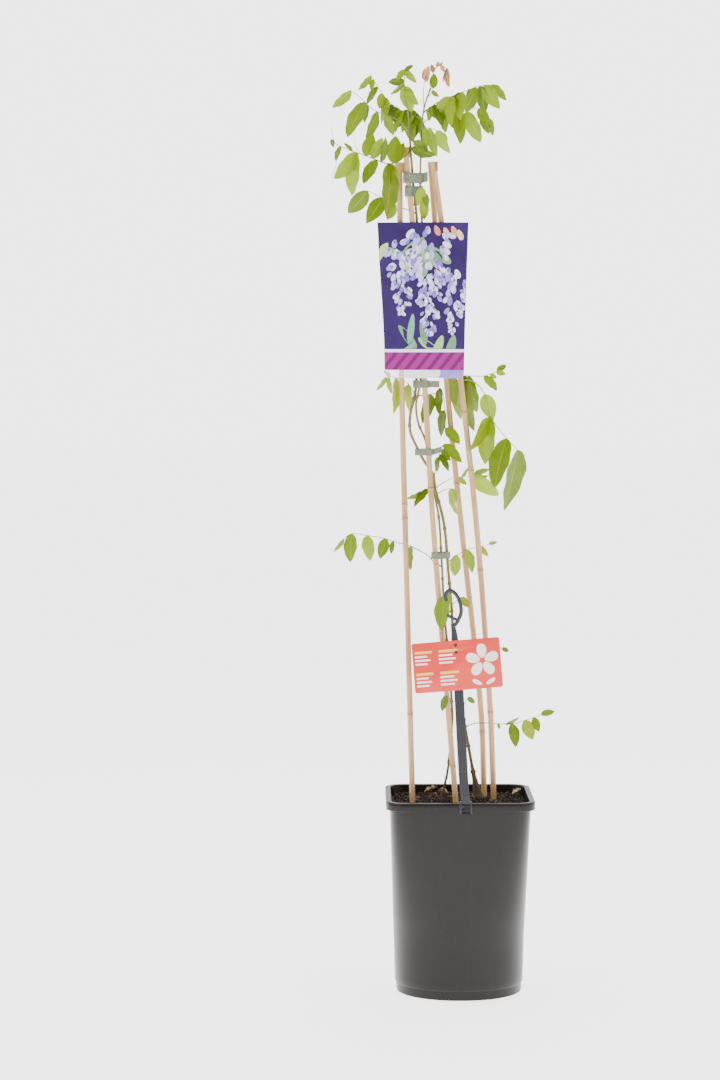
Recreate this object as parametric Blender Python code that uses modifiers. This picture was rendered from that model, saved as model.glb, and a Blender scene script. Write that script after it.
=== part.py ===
"""A young wisteria trained up four bamboo canes in a square nursery pot.

Metres, +Z up, the pot's front flat face towards -Y. The origin is the middle of the pot's foot.
Places are given in millimetres, and mm() turns them to metres.
"""
import math
import random

import bmesh
import bpy
import numpy as np
from mathutils import Matrix, Vector

MM = 0.001
GAP = 0.35 * MM

# The pot, in millimetres
POT_HEIGHT = 270
FOOT_HALF = 85.5
FOOT_STEP_Z = 14
BODY_HALF_LOW = 87.7
BODY_HALF_TOP = 95.0
RIM_HALF = 100.5
LIP_DEPTH = 11.5
LIP_WALL = 1.8
POT_WALL = 1.8
FLOOR = 3.0
DRAIN_RADIUS = 5.0
DRAIN_RING = 55.0
CORNER_STEPS = 5
LIP_CORNER = 27.0
RIM_CORNER = 23.0
ROUND_PART = 0.28
WALL_HEIGHTS = (90, 130, 170, 215)

# The soil
SOIL_LEVEL = 257
SOIL_MOUND = 5
SOIL_CRUMB = 1.3
SOIL_RINGS = (0.94, 0.86, 0.76, 0.64, 0.5, 0.34, 0.17)

# The canes and ties
CANE_RADIUS = 3.9
CANE_FOOT_Z = 40
NODE_SWELL = 1.2
TIE_WALL = 1.1
TIE_SLACK = 0.6

# The labels and the strap
CARD_WIDTH, CARD_HEIGHT, CARD_THICK = 118, 67, 0.9
CARD_TURN = math.radians(4.6)
STRAP_WIDTH, STRAP_THICK = 12.5, 2.0
STRAP_LEAN = 0.104
LABEL_THICK = 0.9

# The leaflets
BLADE_THICK = 0.8
BLADE_RATIO = 0.5
BLADE_LEAN = math.radians(16)

# Each cane's points (x, y, z) from the soil to its top, and the heights of the rings on it
CANES = {
    "cane_left": (((-64, -28, 258), (-74, -19, 632), (-79, -14, 829), (-82, -6, 1129)), (382, 649, 668, 905)),
    "cane_front": (((-5, -38, 258), (-36, -28, 633), (-48, -22, 829), (-65, -16, 1051), (-73, -14, 1125),
                    (-74, -13, 1149)), (313, 587, 690, 862)),
    "cane_back": (((36, 34, 258), (30, 30, 395), (4, 23, 630), (-17, 18, 829), (-34, 11, 1055),
                   (-40, 9, 1131)), (352, 594, 694, 930)),
    "cane_right": (((48, 6, 258), (42, 4, 398), (24, 2, 631), (2, -1, 829), (-26, -3, 1055),
                    (-37, -4, 1130)), (382, 577, 713, 792, 980)),
}

# Each climbing stem's points (x, y, z) and its radius there, from inside the soil to its tip
STEMS = {
    "stem_main": (
        (31, 12, 150, 6.5), (29, 12, 248, 6.5), (27, 12, 263, 6.4), (24, 11, 279, 5.2), (21, 8, 291, 3.0),
        (17, 3, 313, 2.3), (10, -4, 351, 2.2), (3, -10, 393, 2.2), (-3, -14, 434, 2.1), (-8, -16, 475, 2.1),
        (-10, -17, 510, 2.1), (-12, -16, 539, 2.1), (-15, -15, 571, 2.1), (-19, -15, 621, 2.1),
        (-21, -14, 639, 2.1), (-29, -12, 673, 2.0), (-35, -12, 694, 2.0), (-38, -13, 713, 2.0),
        (-46, -17, 722, 2.0), (-54, -20, 735, 2.0), (-61, -22, 750, 2.0), (-67, -22, 764, 2.0),
        (-68, -20, 780, 2.0), (-66, -17, 798, 2.0), (-61, -15, 815, 2.0), (-59, -14, 830, 2.0),
        (-60, -12, 856, 2.0), (-62, -8, 903, 1.9), (-61, -4, 957, 1.9), (-58, -4, 1011, 1.9),
        (-59, -8, 1058, 1.9), (-63, -10, 1092, 1.8), (-65, -11, 1119, 1.8), (-67, -13, 1143, 1.6),
        (-68, -13, 1159, 1.4), (-69, -12, 1171, 1.3),
    ),
    "stem_second": (
        (-26, -22, 150, 1.8), (-24, -22, 256, 1.8), (-20, -22, 284, 1.8), (-16, -22, 305, 1.7),
        (-12, -25, 346, 1.7), (-10, -26, 377, 1.7), (-12, -26, 415, 1.7), (-15, -25, 456, 1.7),
        (-19, -24, 496, 1.7), (-22, -22, 537, 1.7), (-24, -21, 578, 1.6), (-26, -20, 612, 1.6),
        (-28, -19, 646, 1.6), (-33, -18, 673, 1.6), (-36, -18, 695, 1.6), (-39, -19, 716, 1.6),
        (-43, -19, 735, 1.6), (-47, -20, 754, 1.6), (-54, -20, 771, 1.6), (-60, -20, 789, 1.6),
        (-59, -19, 807, 1.6), (-55, -20, 826, 1.6), (-52, -13, 856, 1.5), (-49, -8, 903, 1.5),
        (-49, -4, 957, 1.5), (-50, -3, 1011, 1.5), (-52, -6, 1058, 1.5), (-54, -9, 1092, 1.5),
        (-54, -10, 1119, 1.4), (-53, -9, 1146, 1.3), (-52, -8, 1177, 1.2), (-50, -9, 1197, 1.1),
        (-46, -12, 1213, 1.1), (-40, -14, 1229, 1.0),
    ),
}

# Each tie: what it goes round, its middle height, its band's height, and its free end's length and rise
TIES = {
    "tie_top": (("cane_front", "stem_main", "stem_second"), 1108, 14, 7, 2),
    "tie_top_lower": (("cane_front", "stem_main", "stem_second"), 1090, 14, 0, 0),
    "tie_below_label": (("cane_front", "stem_main", "stem_second"), 830, 10, 14, 0),
    "tie_middle": (("cane_front", "stem_main", "stem_second"), 738, 9, 12, 4),
    "tie_low": (("cane_front", "stem_second", "stem_main"), 598, 9, 0, 0),
}

# The picture label: the height of each row and where its left and right edges are
LABEL_ROWS = (
    (838, -101, 1), (840, -102, 4), (844, -102, 5), (890, -103, 6), (930, -105, 7), (990, -109, 9),
    (1048, -112, 11),
)
LABEL_BOW = 5.0
LABEL_COLUMNS = 6

# The strap's points (x, y, z) and its width, from under the pot's lip to the foot of its hook
STRAP = (
    (6, -101.9, 256.6, 12.5), (6, -101.9, 272, 12.5), (3, -98.7, 302, 12.5), (-3, -86.8, 417, 12.5),
    (-8, -79.7, 485, 9.0), (-11, -77.2, 509, 5.5),
)
HOOK = (
    (-11, -77.4, 505), (-5, -77.4, 512), (0, -77.4, 525), (-2, -77.4, 539), (-7, -77.4, 549),
    (-14, -77.4, 554), (-19, -77.4, 552), (-21, -77.4, 546), (-20, -77.4, 540),
)
HOOK_BAR = ((-19, -77.4, 521), (-11, -77.4, 517), (-4, -77.4, 514))
HOOK_RADIUS = 2.1
CARD_CENTRE = (-5.3, -84.6, 454.1)
PEGS = ((-7.4, 481.1), (-6.9, 471.8))
PEG_RADIUS = 1.5
CLIP_FOOT_Z = 259.5

# Dry leaves on the soil: the middle (x, y), the heading from above, and the length
DRY_LEAVES = {
    "dry_leaf_left": ((-46, 66), 15, 20),
    "dry_leaf_back": ((-27, 78), -20, 16),
    "dry_leaf_right": ((76, 52), 35, 17),
}

# Each frond: its colour, its stalk's radius, the stalk's points (x, y, z) from the stem to the tip,
# and its leaflets as (place along the stalk, heading seen from the front in degrees, length, turn)
FRONDS = {
    "frond_crown_far_left": ("leaf", 0.8,
        ((-73, -20, 1176), (-88, -32, 1186), (-107, -45, 1192), (-121, -52, 1199), (-134, -58, 1211),
         (-148, -62, 1221)),
        ((1.0, -134, 35, 60), (0.77, -120, 54, 55), (0.71, -107, 25, 55), (0.56, -110, 41, 65))),
    "frond_crown_left_top": ("leaf", 0.8,
        ((-68, 5, 1190), (-83, 8, 1202), (-96, 12, 1212), (-108, 14, 1227), (-117, 14, 1242),
         (-121, 13, 1248)),
        ((1.0, -127, 27, 65), (0.94, -101, 18, 50), (0.81, -129, 29, 60), (0.71, -97, 22, 0),
         (0.58, -113, 33, 70), (0.51, -93, 30, 25), (0.41, -120, 28, 65), (0.32, -115, 33, 70),
         (0.22, -118, 26, 65), (0.14, -119, 13, 50))),
    "frond_crown_left": ("leaf", 0.9,
        ((-68, -24, 1143), (-78, -28, 1134), (-88, -32, 1127), (-101, -38, 1126), (-116, -46, 1131),
         (-137, -56, 1138), (-153, -60, 1143), (-169, -64, 1151), (-174, -65, 1156)),
        ((1.0, -71, 12, 20), (0.88, -111, 22, 60), (0.75, 132, 17, 60), (0.69, -127, 48, 45),
         (0.71, -100, 60, 55), (0.47, -119, 38, 45), (0.6, 70, 35, 0), (0.41, 76, 34, 70),
         (0.3, -81, 33, 0), (0.32, -87, 73, 65), (0.27, 85, 41, 5))),
    "frond_crown_left_low": ("leaf", 0.8,
        ((-62, -4, 1061), (-69, -2, 1065), (-77, 3, 1068), (-88, 2, 1072), (-104, -6, 1081),
         (-126, -14, 1091)),
        ((0.99, -129, 42, 15), (0.67, -127, 42, 10), (0.41, -122, 24, 0))),
    "leafy_tip_left": ("leaf", 0.9,
        ((-69, -10, 1171), (-71, -22, 1196), (-74, -28, 1218), (-76, -30, 1235), (-75, -30, 1253)),
        ((0.82, -171, 23, 35), (0.98, -133, 20, 40), (1.0, -54, 26, 60), (0.97, 33, 14, 40),
         (0.73, -76, 38, 0), (0.64, -48, 26, 35), (0.78, -137, 26, 80))),
    "frond_crown_back": ("leaf", 0.8,
        ((-54, 0, 1188), (-58, 12, 1197), (-65, 20, 1203), (-73, 26, 1202)),
        ((1.0, -95, 33, 65), (0.85, -89, 48, 55), (0.49, -72, 41, 65), (0.68, -74, 32, 65))),
    "frond_crown_right": ("leaf", 0.9,
        ((-49, -8, 1196), (-40, -16, 1203), (-28, -24, 1210), (-9, -34, 1217), (10, -42, 1224),
         (30, -48, 1229), (39, -50, 1229)),
        ((1.0, -38, 31, 50), (0.92, -62, 39, 30), (0.88, -84, 38, 40), (0.81, -111, 38, 45),
         (0.73, -83, 27, 20), (0.61, -97, 39, 50), (0.6, -124, 21, 0), (0.47, -99, 42, 65),
         (0.4, -120, 23, 0), (0.19, -67, 34, 50), (0.14, -105, 21, 40))),
    "frond_crown_right_low": ("leaf", 0.8,
        ((-48, 2, 1182), (-35, 12, 1195), (-19, 18, 1200), (-2, 22, 1199), (14, 25, 1202), (25, 27, 1205),
         (38, 29, 1192)),
        ((1.0, -67, 27, 50), (0.84, -56, 28, 10), (0.69, -69, 49, 50), (0.55, -80, 45, 50),
         (0.4, -87, 30, 50), (0.49, -85, 17, 15))),
    "frond_crown_right_drooping": ("pale", 0.7,
        ((-49, -12, 1176), (-41, -20, 1174), (-33, -26, 1171), (-27, -30, 1167)),
        ((1.0, -51, 16, 0), (0.79, -66, 37, 55), (0.44, -80, 41, 60), (0.19, -86, 23, 35))),
    "frond_crown_front": ("leaf", 0.8,
        ((-65, -23, 1145), (-64, -27, 1150), (-63, -31, 1156)),
        ((1.0, -33, 26, 0), (0.24, -23, 35, 55))),
    "frond_below_top_tie": ("leaf", 0.7,
        ((-52, -10, 1070), (-48, -17, 1078), (-48, -24, 1087), (-51, -27, 1094)),
        ((1.0, -107, 27, 0), (0.72, -82, 20, 35), (0.41, -92, 28, 30))),
    "young_frond_bronze": ("bronze", 0.7,
        ((-39, -14, 1231), (-38, -16, 1244), (-33, -20, 1255), (-26, -24, 1258), (-18, -28, 1253)),
        ((1.0, -106, 19, 60), (0.97, -85, 27, 70), (0.76, -60, 11, 0), (0.61, 72, 9, 0),
         (0.43, 105, 13, 0), (0.69, 36, 8, 0), (0.34, -30, 8, 0))),
    "young_frond_bud": ("bronze", 0.7,
        ((-54, -2, 1205), (-50, -6, 1223), (-48, -8, 1240)),
        ((1.0, 95, 17, 50), (1.0, 76, 20, 45), (0.93, 62, 16, 55))),
    "young_frond_green": ("leaf", 0.7,
        ((-45, -16, 1214), (-41, -23, 1220), (-37, -26, 1227)),
        ((1.0, 88, 22, 0), (0.83, -47, 13, 35))),
    "frond_right_drooping": ("pale", 0.9,
        ((-49, -9, 845), (-32, -5, 844), (-17, 0, 840), (-3, 8, 835), (15, 14, 835), (28, 12, 826),
         (36, 6, 811), (43, 0, 784), (63, -10, 757), (78, -14, 741)),
        ((1.0, -98, 90, 65), (0.89, -108, 70, 55), (0.7, -101, 69, 55), (0.69, -119, 59, 75),
         (0.53, -72, 41, 0))),
    "frond_right_upper": ("leaf", 0.8,
        ((-49, -6, 861), (-32, 8, 854), (-16, 28, 846), (-5, 33, 842), (13, 35, 841), (34, 30, 841),
         (52, 26, 847)),
        ((1.0, 38, 17, 30), (0.99, -16, 14, 10), (0.92, -35, 12, 0), (0.85, -46, 28, 45),
         (0.69, -83, 55, 60), (0.64, -86, 79, 75), (0.61, -69, 23, 55), (0.49, -87, 44, 60),
         (0.53, -87, 65, 75))),
    "frond_right_level": ("pale", 0.7,
        ((-30, -6, 690), (-17, 14, 698), (-6, 34, 701), (10, 39, 703), (21, 39, 704)),
        ((1.0, 26, 25, 65), (0.98, -7, 23, 70), (1.0, -43, 48, 40), (0.7, -32, 18, 45), (0.79, 47, 18, 65))),
    "frond_below_label": ("leaf", 0.7,
        ((-36, -6, 810), (-31, -2, 818), (-27, 2, 825), (-22, 6, 814), (-20, 8, 795), (-19, 6, 770)),
        ((0.2, -102, 44, 50), (0.42, -97, 39, 70), (0.75, -102, 39, 65), (1.0, -45, 30, 25))),
    "frond_centre": ("leaf", 0.7,
        ((-34, -10, 704), (-31, -8, 723), (-26, -6, 739), (-23, -6, 747)),
        ((1.0, -38, 38, 50), (0.87, -51, 21, 50), (0.61, -102, 22, 60), (0.71, -58, 27, 60))),
    "frond_left_narrow": ("leaf", 0.7,
        ((-36, -8, 691), (-40, -10, 689), (-45, -13, 686)),
        ((0.95, -152, 32, 70), (0.66, -137, 33, 70))),
    "leaf_beside_cane": ("pale", 0.7,
        ((-29, -12, 682), (-19, -10, 687), (-10, -8, 688)),
        ((1.0, -77, 22, 0), (0.86, -79, 38, 80))),
    "frond_left_pale": ("pale", 0.7,
        ((-64, -11, 818), (-69, -8, 829), (-78, -3, 835), (-89, -5, 839), (-100, -8, 840)),
        ((1.0, -120, 25, 70), (0.94, -79, 25, 70), (0.89, 130, 13, 50), (0.72, -90, 50, 75),
         (0.3, -88, 43, 70))),
    "frond_left_long": ("leaf", 0.8,
        ((-27, -17, 582), (-35, -15, 588), (-43, -14, 597), (-57, -12, 605), (-70, -9, 611),
         (-89, -12, 616), (-103, -18, 621), (-125, -26, 625), (-146, -34, 628), (-158, -38, 621)),
        ((1.0, -122, 24, 70), (0.91, -93, 39, 35), (0.75, -91, 38, 35), (0.58, -107, 29, 0),
         (0.5, -103, 19, 55), (0.34, -96, 34, 70))),
    "frond_right_thin": ("pale", 0.7,
        ((-14, -8, 588), (-2, 0, 598), (12, 10, 604), (29, 14, 608), (41, 12, 611)),
        ((1.0, 18, 13, 50), (0.82, -52, 18, 40), (0.28, -96, 32, 30), (0.55, -75, 33, 50))),
    "leaf_by_hook": ("leaf", 0.7,
        ((-9, -8, 529), (-2, -2, 536), (2, 2, 539)),
        ((1.0, -49, 20, 15),)),
    "frond_hook_front": ("leaf", 0.7,
        ((-14, -20, 552), (-16, -34, 550), (-19, -44, 548), (-22, -49, 545)),
        ((0.78, -67, 19, 45), (1.0, -98, 48, 45))),
    "frond_behind_card": ("leaf", 0.7,
        ((2, -2, 436), (15, 0, 448), (39, -6, 463), (58, -12, 471)),
        ((1.0, -31, 12, 0), (0.69, -78, 28, 40), (0.36, -101, 30, 45))),
    "leaf_low_left": ("leaf", 0.6,
        ((-12, -31, 398), (-13, -42, 404), (-18, -49, 409), (-21, -51, 410)),
        ((1.0, -95, 25, 45),)),
    "leaf_low_right": ("leaf", 0.6,
        ((5, -12, 390), (9, -20, 399), (11, -22, 404)),
        ((1.0, -37, 14, 15),)),
    "frond_low_right": ("leaf", 0.8,
        ((9, -4, 362), (21, 8, 365), (38, 17, 365), (54, 16, 364), (73, 8, 365), (92, 0, 371),
         (112, -8, 379)),
        ((1.0, 16, 21, 50), (0.9, -68, 21, 0), (0.79, -70, 33, 0), (0.62, -78, 33, 35), (0.54, 21, 23, 70),
         (0.45, -75, 8, 0))),
}

COLOURS = {
    "pot": ((0.075, 0.066, 0.064), 0.42),
    "soil": ((0.035, 0.022, 0.015), 0.95),
    "bamboo": ((0.62, 0.45, 0.30), 0.5),
    "tie": ((0.25, 0.29, 0.20), 0.7),
    "strap": ((0.095, 0.09, 0.10), 0.45),
    "card": ((0.90, 0.17, 0.13), 0.4),
    "label": ((0.22, 0.12, 0.42), 0.3),
    "bark": ((0.16, 0.10, 0.05), 0.8),
    "shoot": ((0.24, 0.22, 0.08), 0.6),
    "leaf": ((0.25, 0.42, 0.04), 0.45),
    "pale": ((0.50, 0.68, 0.15), 0.45),
    "bronze": ((0.70, 0.42, 0.20), 0.5),
    "dry": ((0.62, 0.50, 0.34), 0.8),
}


def mm(*values):
    """A point given in millimetres."""
    return Vector(values) * MM


def clear_scene():
    for old in list(bpy.data.objects):
        bpy.data.objects.remove(old, do_unlink=True)


def new_collection(name, hidden=False):
    made = bpy.data.collections.new(name)
    made.hide_render = hidden
    bpy.context.scene.collection.children.link(made)
    return made


def finish_of(colour):
    """The material of this colour, made once."""
    if colour in bpy.data.materials:
        return bpy.data.materials[colour]
    rgb, roughness = COLOURS[colour]
    made = bpy.data.materials.new(colour)
    made.use_nodes = True
    shader = made.node_tree.nodes["Principled BSDF"]
    shader.inputs["Base Color"].default_value = (*rgb, 1)
    shader.inputs["Roughness"].default_value = roughness
    return made


def object_from(name, bm, collection, colour):
    mesh = bpy.data.meshes.new(name)
    bm.to_mesh(mesh)
    bm.free()
    made = bpy.data.objects.new(name, mesh)
    mesh.materials.append(finish_of(colour))
    collection.objects.link(made)
    return made


def applied(source):
    """The object as a mesh with its modifiers applied, and a curve's loose caps welded to its sides."""
    bpy.context.view_layer.update()
    graph = bpy.context.evaluated_depsgraph_get()
    mesh = bpy.data.meshes.new_from_object(source.evaluated_get(graph))
    if source.type == "CURVE":
        bm = bmesh.new()
        bm.from_mesh(mesh)
        bmesh.ops.remove_doubles(bm, verts=bm.verts, dist=1e-5)
        bmesh.ops.recalc_face_normals(bm, faces=bm.faces)
        bm.to_mesh(mesh)
        bm.free()
    name = source.name
    collection = source.users_collection[0]
    place = source.matrix_world.copy()
    bpy.data.objects.remove(source, do_unlink=True)
    made = bpy.data.objects.new(name, mesh)
    made.matrix_world = place
    collection.objects.link(made)
    return made


def without_scraps(body):
    """The object with any loose scrap that a Boolean left beside it dropped."""
    bm = bmesh.new()
    bm.from_mesh(body.data)
    islands = []
    left = set(bm.faces)
    while left:
        waiting = [left.pop()]
        island = list(waiting)
        while waiting:
            near = {other for edge in waiting.pop().edges for other in edge.link_faces} & left
            left -= near
            island.extend(near)
            waiting.extend(near)
        islands.append(island)
    islands.sort(key=len)
    for island in islands[:-1]:
        bmesh.ops.delete(bm, geom=island, context="FACES")
    bm.to_mesh(body.data)
    bm.free()
    return body


def joined(target, pieces, operation="UNION"):
    """The target with the pieces joined to it or cut from it, and the pieces removed."""
    helpers = new_collection(target.name + "_pieces", hidden=True)
    for piece in pieces:
        for home in list(piece.users_collection):
            home.objects.unlink(piece)
        helpers.objects.link(piece)
        piece.hide_render = True
        piece.display_type = "WIRE"
    cut = target.modifiers.new("Boolean", "BOOLEAN")
    cut.operation = operation
    cut.operand_type = "COLLECTION"
    cut.collection = helpers
    cut.solver = "MANIFOLD"
    made = applied(target)
    for piece in pieces:
        bpy.data.objects.remove(piece, do_unlink=True)
    bpy.data.collections.remove(helpers)
    return without_scraps(made)


def smooth_path(points, count):
    """This many points, evenly spread along the smooth curve through the given ones."""
    rows = [np.array(point, float) for point in points]
    rows = [2 * rows[0] - rows[1], *rows, 2 * rows[-1] - rows[-2]]
    fine = []
    for a, b, c, d in zip(rows, rows[1:], rows[2:], rows[3:]):
        for step in range(12):
            t = step / 12
            bend = (2 * a - 5 * b + 4 * c - d) * t**2 + (3 * b - a - 3 * c + d) * t**3
            fine.append(b + 0.5 * ((c - a) * t + bend))
    fine.append(rows[-2])
    fine = np.array(fine)
    along = np.r_[0, np.cumsum(np.linalg.norm(np.diff(fine[:, :3], axis=0), axis=1))]
    wanted = np.linspace(0, along[-1], count)
    return np.array([np.interp(wanted, along, column) for column in fine.T]).T


def tube(name, rows, collection, colour, resolution=1):
    """A tube along rows of (x, y, z, radius) in millimetres, with closed ends."""
    curve = bpy.data.curves.new(name, "CURVE")
    curve.dimensions = "3D"
    curve.bevel_depth = MM
    curve.bevel_resolution = resolution
    curve.use_fill_caps = True
    curve.twist_mode = "MINIMUM"
    spline = curve.splines.new("POLY")
    spline.points.add(len(rows) - 1)
    for point, (x, y, z, radius) in zip(spline.points, rows):
        point.co = (*mm(x, y, z), 1)
        point.radius = radius
    curve.materials.append(finish_of(colour))
    made = bpy.data.objects.new(name, curve)
    collection.objects.link(made)
    return applied(made)


def rounded_square(half, radius, z):
    """A ring of points round a square with rounded corners, anticlockwise from the front right."""
    ring = []
    for quarter in range(4):
        centre = Matrix.Rotation(quarter * math.pi / 2, 3, "Z") @ Vector((half - radius, radius - half, 0))
        for step in range(CORNER_STEPS + 1):
            angle = (quarter - 1 + step / CORNER_STEPS) * math.pi / 2
            x = centre.x + radius * math.cos(angle)
            y = centre.y + radius * math.sin(angle)
            ring.append(mm(x, y, z))
    return ring


def lofted(bm, rings, bottom=True, top=True):
    """Faces between successive rings of points, with flat ends."""
    loops = [[bm.verts.new(point) for point in ring] for ring in rings]
    for low, high in zip(loops, loops[1:]):
        for i in range(len(low)):
            j = (i + 1) % len(low)
            bm.faces.new((low[i], low[j], high[j], high[i]))
    if bottom:
        bm.faces.new(loops[0][::-1])
    if top:
        bm.faces.new(loops[-1])
    bmesh.ops.recalc_face_normals(bm, faces=bm.faces)


def body_ring(z, inset=0.0):
    """The half width and corner radius of the pot's wall at a height: round below, square at the rim."""
    up = max(0.0, (z - FOOT_STEP_Z) / (POT_HEIGHT - FOOT_STEP_Z))
    half = BODY_HALF_LOW + (BODY_HALF_TOP - BODY_HALF_LOW) * up
    square = (max(0.0, up - ROUND_PART) / (1 - ROUND_PART)) ** 0.8
    radius = (half - 2) * (1 - square) + RIM_CORNER * square
    return half - inset, radius - inset


def pot(collection, helpers):
    """The pot: a round foot that turns into a square rim with a folded lip, and drain holes in its floor."""
    skirt = POT_HEIGHT - LIP_DEPTH
    rings = [rounded_square(FOOT_HALF, FOOT_HALF - 2, z) for z in (0, FOOT_STEP_Z - 1)]
    rings += [rounded_square(*body_ring(z), z) for z in (FOOT_STEP_Z, *WALL_HEIGHTS, skirt)]
    wall_top = POT_HEIGHT - LIP_WALL
    half, radius = body_ring(wall_top)
    rings.append(rounded_square(half, radius, wall_top))
    rings.append(rounded_square(RIM_HALF - LIP_WALL, LIP_CORNER - LIP_WALL, wall_top))
    rings.append(rounded_square(RIM_HALF - LIP_WALL, LIP_CORNER - LIP_WALL, skirt))
    rings.append(rounded_square(RIM_HALF, LIP_CORNER, skirt))
    rings.append(rounded_square(RIM_HALF, LIP_CORNER, POT_HEIGHT - 1))
    rings.append(rounded_square(RIM_HALF - 1, LIP_CORNER - 1, POT_HEIGHT))
    inner = (POT_HEIGHT, *WALL_HEIGHTS[::-1], FLOOR)
    rings += [rounded_square(*body_ring(z, POT_WALL), z) for z in inner]
    bm = bmesh.new()
    lofted(bm, rings)
    shell = object_from("pot", bm, collection, "pot")
    drains = []
    for quarter in range(4):
        angle = (quarter + 0.5) * math.pi / 2
        bm = bmesh.new()
        bmesh.ops.create_cone(bm, cap_ends=True, segments=12, radius1=DRAIN_RADIUS * MM,
                              radius2=DRAIN_RADIUS * MM, depth=4 * FLOOR * MM)
        drain = object_from(f"drain_{quarter}", bm, helpers, "pot")
        drain.location = mm(DRAIN_RING * math.cos(angle), DRAIN_RING * math.sin(angle), 0)
        drains.append(drain)
    return joined(shell, drains, "DIFFERENCE")


def soil_height(x, y):
    """The height of the soil's smooth surface, mounded towards the middle."""
    reach = max(abs(x), abs(y)) / BODY_HALF_TOP
    return SOIL_LEVEL + SOIL_MOUND * (1 - reach**2)


def soil(collection, cutters):
    """The soil: a block that fills the pot, crumbly on top, with a hole for each cane and stem."""
    crumb = random.Random(3)
    gap = POT_WALL + GAP / MM
    heights = (FLOOR + GAP / MM, *WALL_HEIGHTS, SOIL_LEVEL)
    rings = [rounded_square(*body_ring(z, gap), z) for z in heights]
    for scale in SOIL_RINGS:
        ring = []
        for point in rings[len(heights) - 1]:
            x, y = point.x / MM * scale, point.y / MM * scale
            ring.append(mm(x, y, soil_height(x, y) + crumb.uniform(-SOIL_CRUMB, SOIL_CRUMB)))
        rings.append(ring)
    bm = bmesh.new()
    lofted(bm, rings)
    bmesh.ops.triangulate(bm, faces=bm.faces)
    return joined(object_from("soil", bm, collection, "soil"), cutters, "DIFFERENCE")


def cane_rows(points, rings):
    """A cane's rows of (x, y, z, radius): straight down into the soil, and swollen at each ring."""
    low, high = np.array(points[0], float), np.array(points[1], float)
    foot = low + (high - low) * (CANE_FOOT_Z - low[2]) / (high - low)[2]
    path = smooth_path([foot, *points], 60)
    rows = [(*path[0], CANE_RADIUS)]
    for z in sorted([low[2], 480, 740, 1010, *rings]):
        x, y = (np.interp(z, path[:, 2], path[:, axis]) for axis in (0, 1))
        if z not in rings:
            rows.append((x, y, z, CANE_RADIUS))
            continue
        rows.append((x, y, z - 4, CANE_RADIUS))
        rows.append((x, y, z, CANE_RADIUS * NODE_SWELL))
        rows.append((x, y, z + 3, CANE_RADIUS))
    rows.append((*path[-1], CANE_RADIUS))
    return rows


def stem_rows(points):
    return smooth_path(points, round(len(points) * 1.3))


def hole_cutter(name, rows, helpers, resolution):
    """What cuts a plain hole in the soil for a cane or stem, a little wider than it is."""
    wider = [(x, y, z, radius + GAP / MM) for x, y, z, radius in rows]
    (x, y, z, radius), (x2, y2, z2, _) = wider[0], wider[1]
    reach = GAP / MM / math.dist((x, y, z), (x2, y2, z2))
    wider[0] = (x + (x - x2) * reach, y + (y - y2) * reach, z + (z - z2) * reach, radius)
    return tube(name, wider, helpers, "soil", resolution)


def at_height(rows, z):
    """Where a cane or stem is at a height, and its radius there."""
    rows = np.array(rows)
    return tuple(float(np.interp(z, rows[:, 2], rows[:, axis])) for axis in (0, 1, 3))


def hull(points):
    """The outline round a set of flat points, anticlockwise."""
    points = sorted(points)

    def half(ordered):
        kept = []
        for point in ordered:
            while len(kept) > 1 and turn(kept[-2], kept[-1], point) <= 0:
                kept.pop()
            kept.append(point)
        return kept[:-1]

    def turn(a, b, c):
        return (b[0] - a[0]) * (c[1] - a[1]) - (b[1] - a[1]) * (c[0] - a[0])

    return half(points) + half(points[::-1])


def band_outline(circles, slack):
    """The outline of a band pulled round some circles (x, y, radius)."""
    points = []
    for x, y, radius in circles:
        for step in range(12):
            angle = step * math.pi / 6
            reach = (radius + slack) / math.cos(math.pi / 12)
            points.append((x + reach * math.cos(angle), y + reach * math.sin(angle)))
    return hull(points)


def tie(name, spec, paths, collection):
    """A soft band round a cane and the stems tied to it, with a free end where it has one."""
    held, middle, height, tail, rise = spec
    levels = (middle - height / 2, middle + height / 2)
    circles = [at_height(paths[piece], z) for piece in held for z in (levels[0], middle, levels[1])]
    inner = band_outline(circles, TIE_SLACK)
    outer = band_outline(circles, TIE_SLACK + TIE_WALL)
    bm = bmesh.new()
    outside = [mm(x, y, levels[0]) for x, y in outer]
    lofted(bm, [outside, [point + mm(0, 0, height) for point in outside]])
    band = object_from(name, bm, collection, "tie")
    bm = bmesh.new()
    inside = [mm(x, y, levels[0] - 1) for x, y in inner]
    lofted(bm, [inside, [point + mm(0, 0, height + 2) for point in inside]])
    band = joined(band, [object_from(name + "_inside", bm, collection, "tie")], "DIFFERENCE")
    if not tail:
        return band
    right = max(outer)
    bm = bmesh.new()
    bmesh.ops.create_cube(bm, size=1)
    for vert in bm.verts:
        out = vert.co.x + 0.5
        vert.co = mm(
            right[0] - 1.0 + out * (tail + 1.0),
            right[1] - 0.6 + vert.co.y * TIE_WALL - out * 2,
            middle + vert.co.z * (height - 1) + out * rise,
        )
    return joined(band, [object_from(name + "_end", bm, collection, "tie")])


def strip(name, rows, collection, colour, thick):
    """A flat strip along rows of (x, y, z, width), wide along X."""
    bm = bmesh.new()
    edges = [[bm.verts.new(mm(x + side * width / 2, y, z)) for side in (-1, 1)] for x, y, z, width in rows]
    for low, high in zip(edges, edges[1:]):
        bm.faces.new((low[0], low[1], high[1], high[0]))
    made = object_from(name, bm, collection, colour)
    shell = made.modifiers.new("Solidify", "SOLIDIFY")
    shell.thickness = thick * MM
    shell.offset = 0
    shell.use_even_offset = True
    return applied(made)


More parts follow.
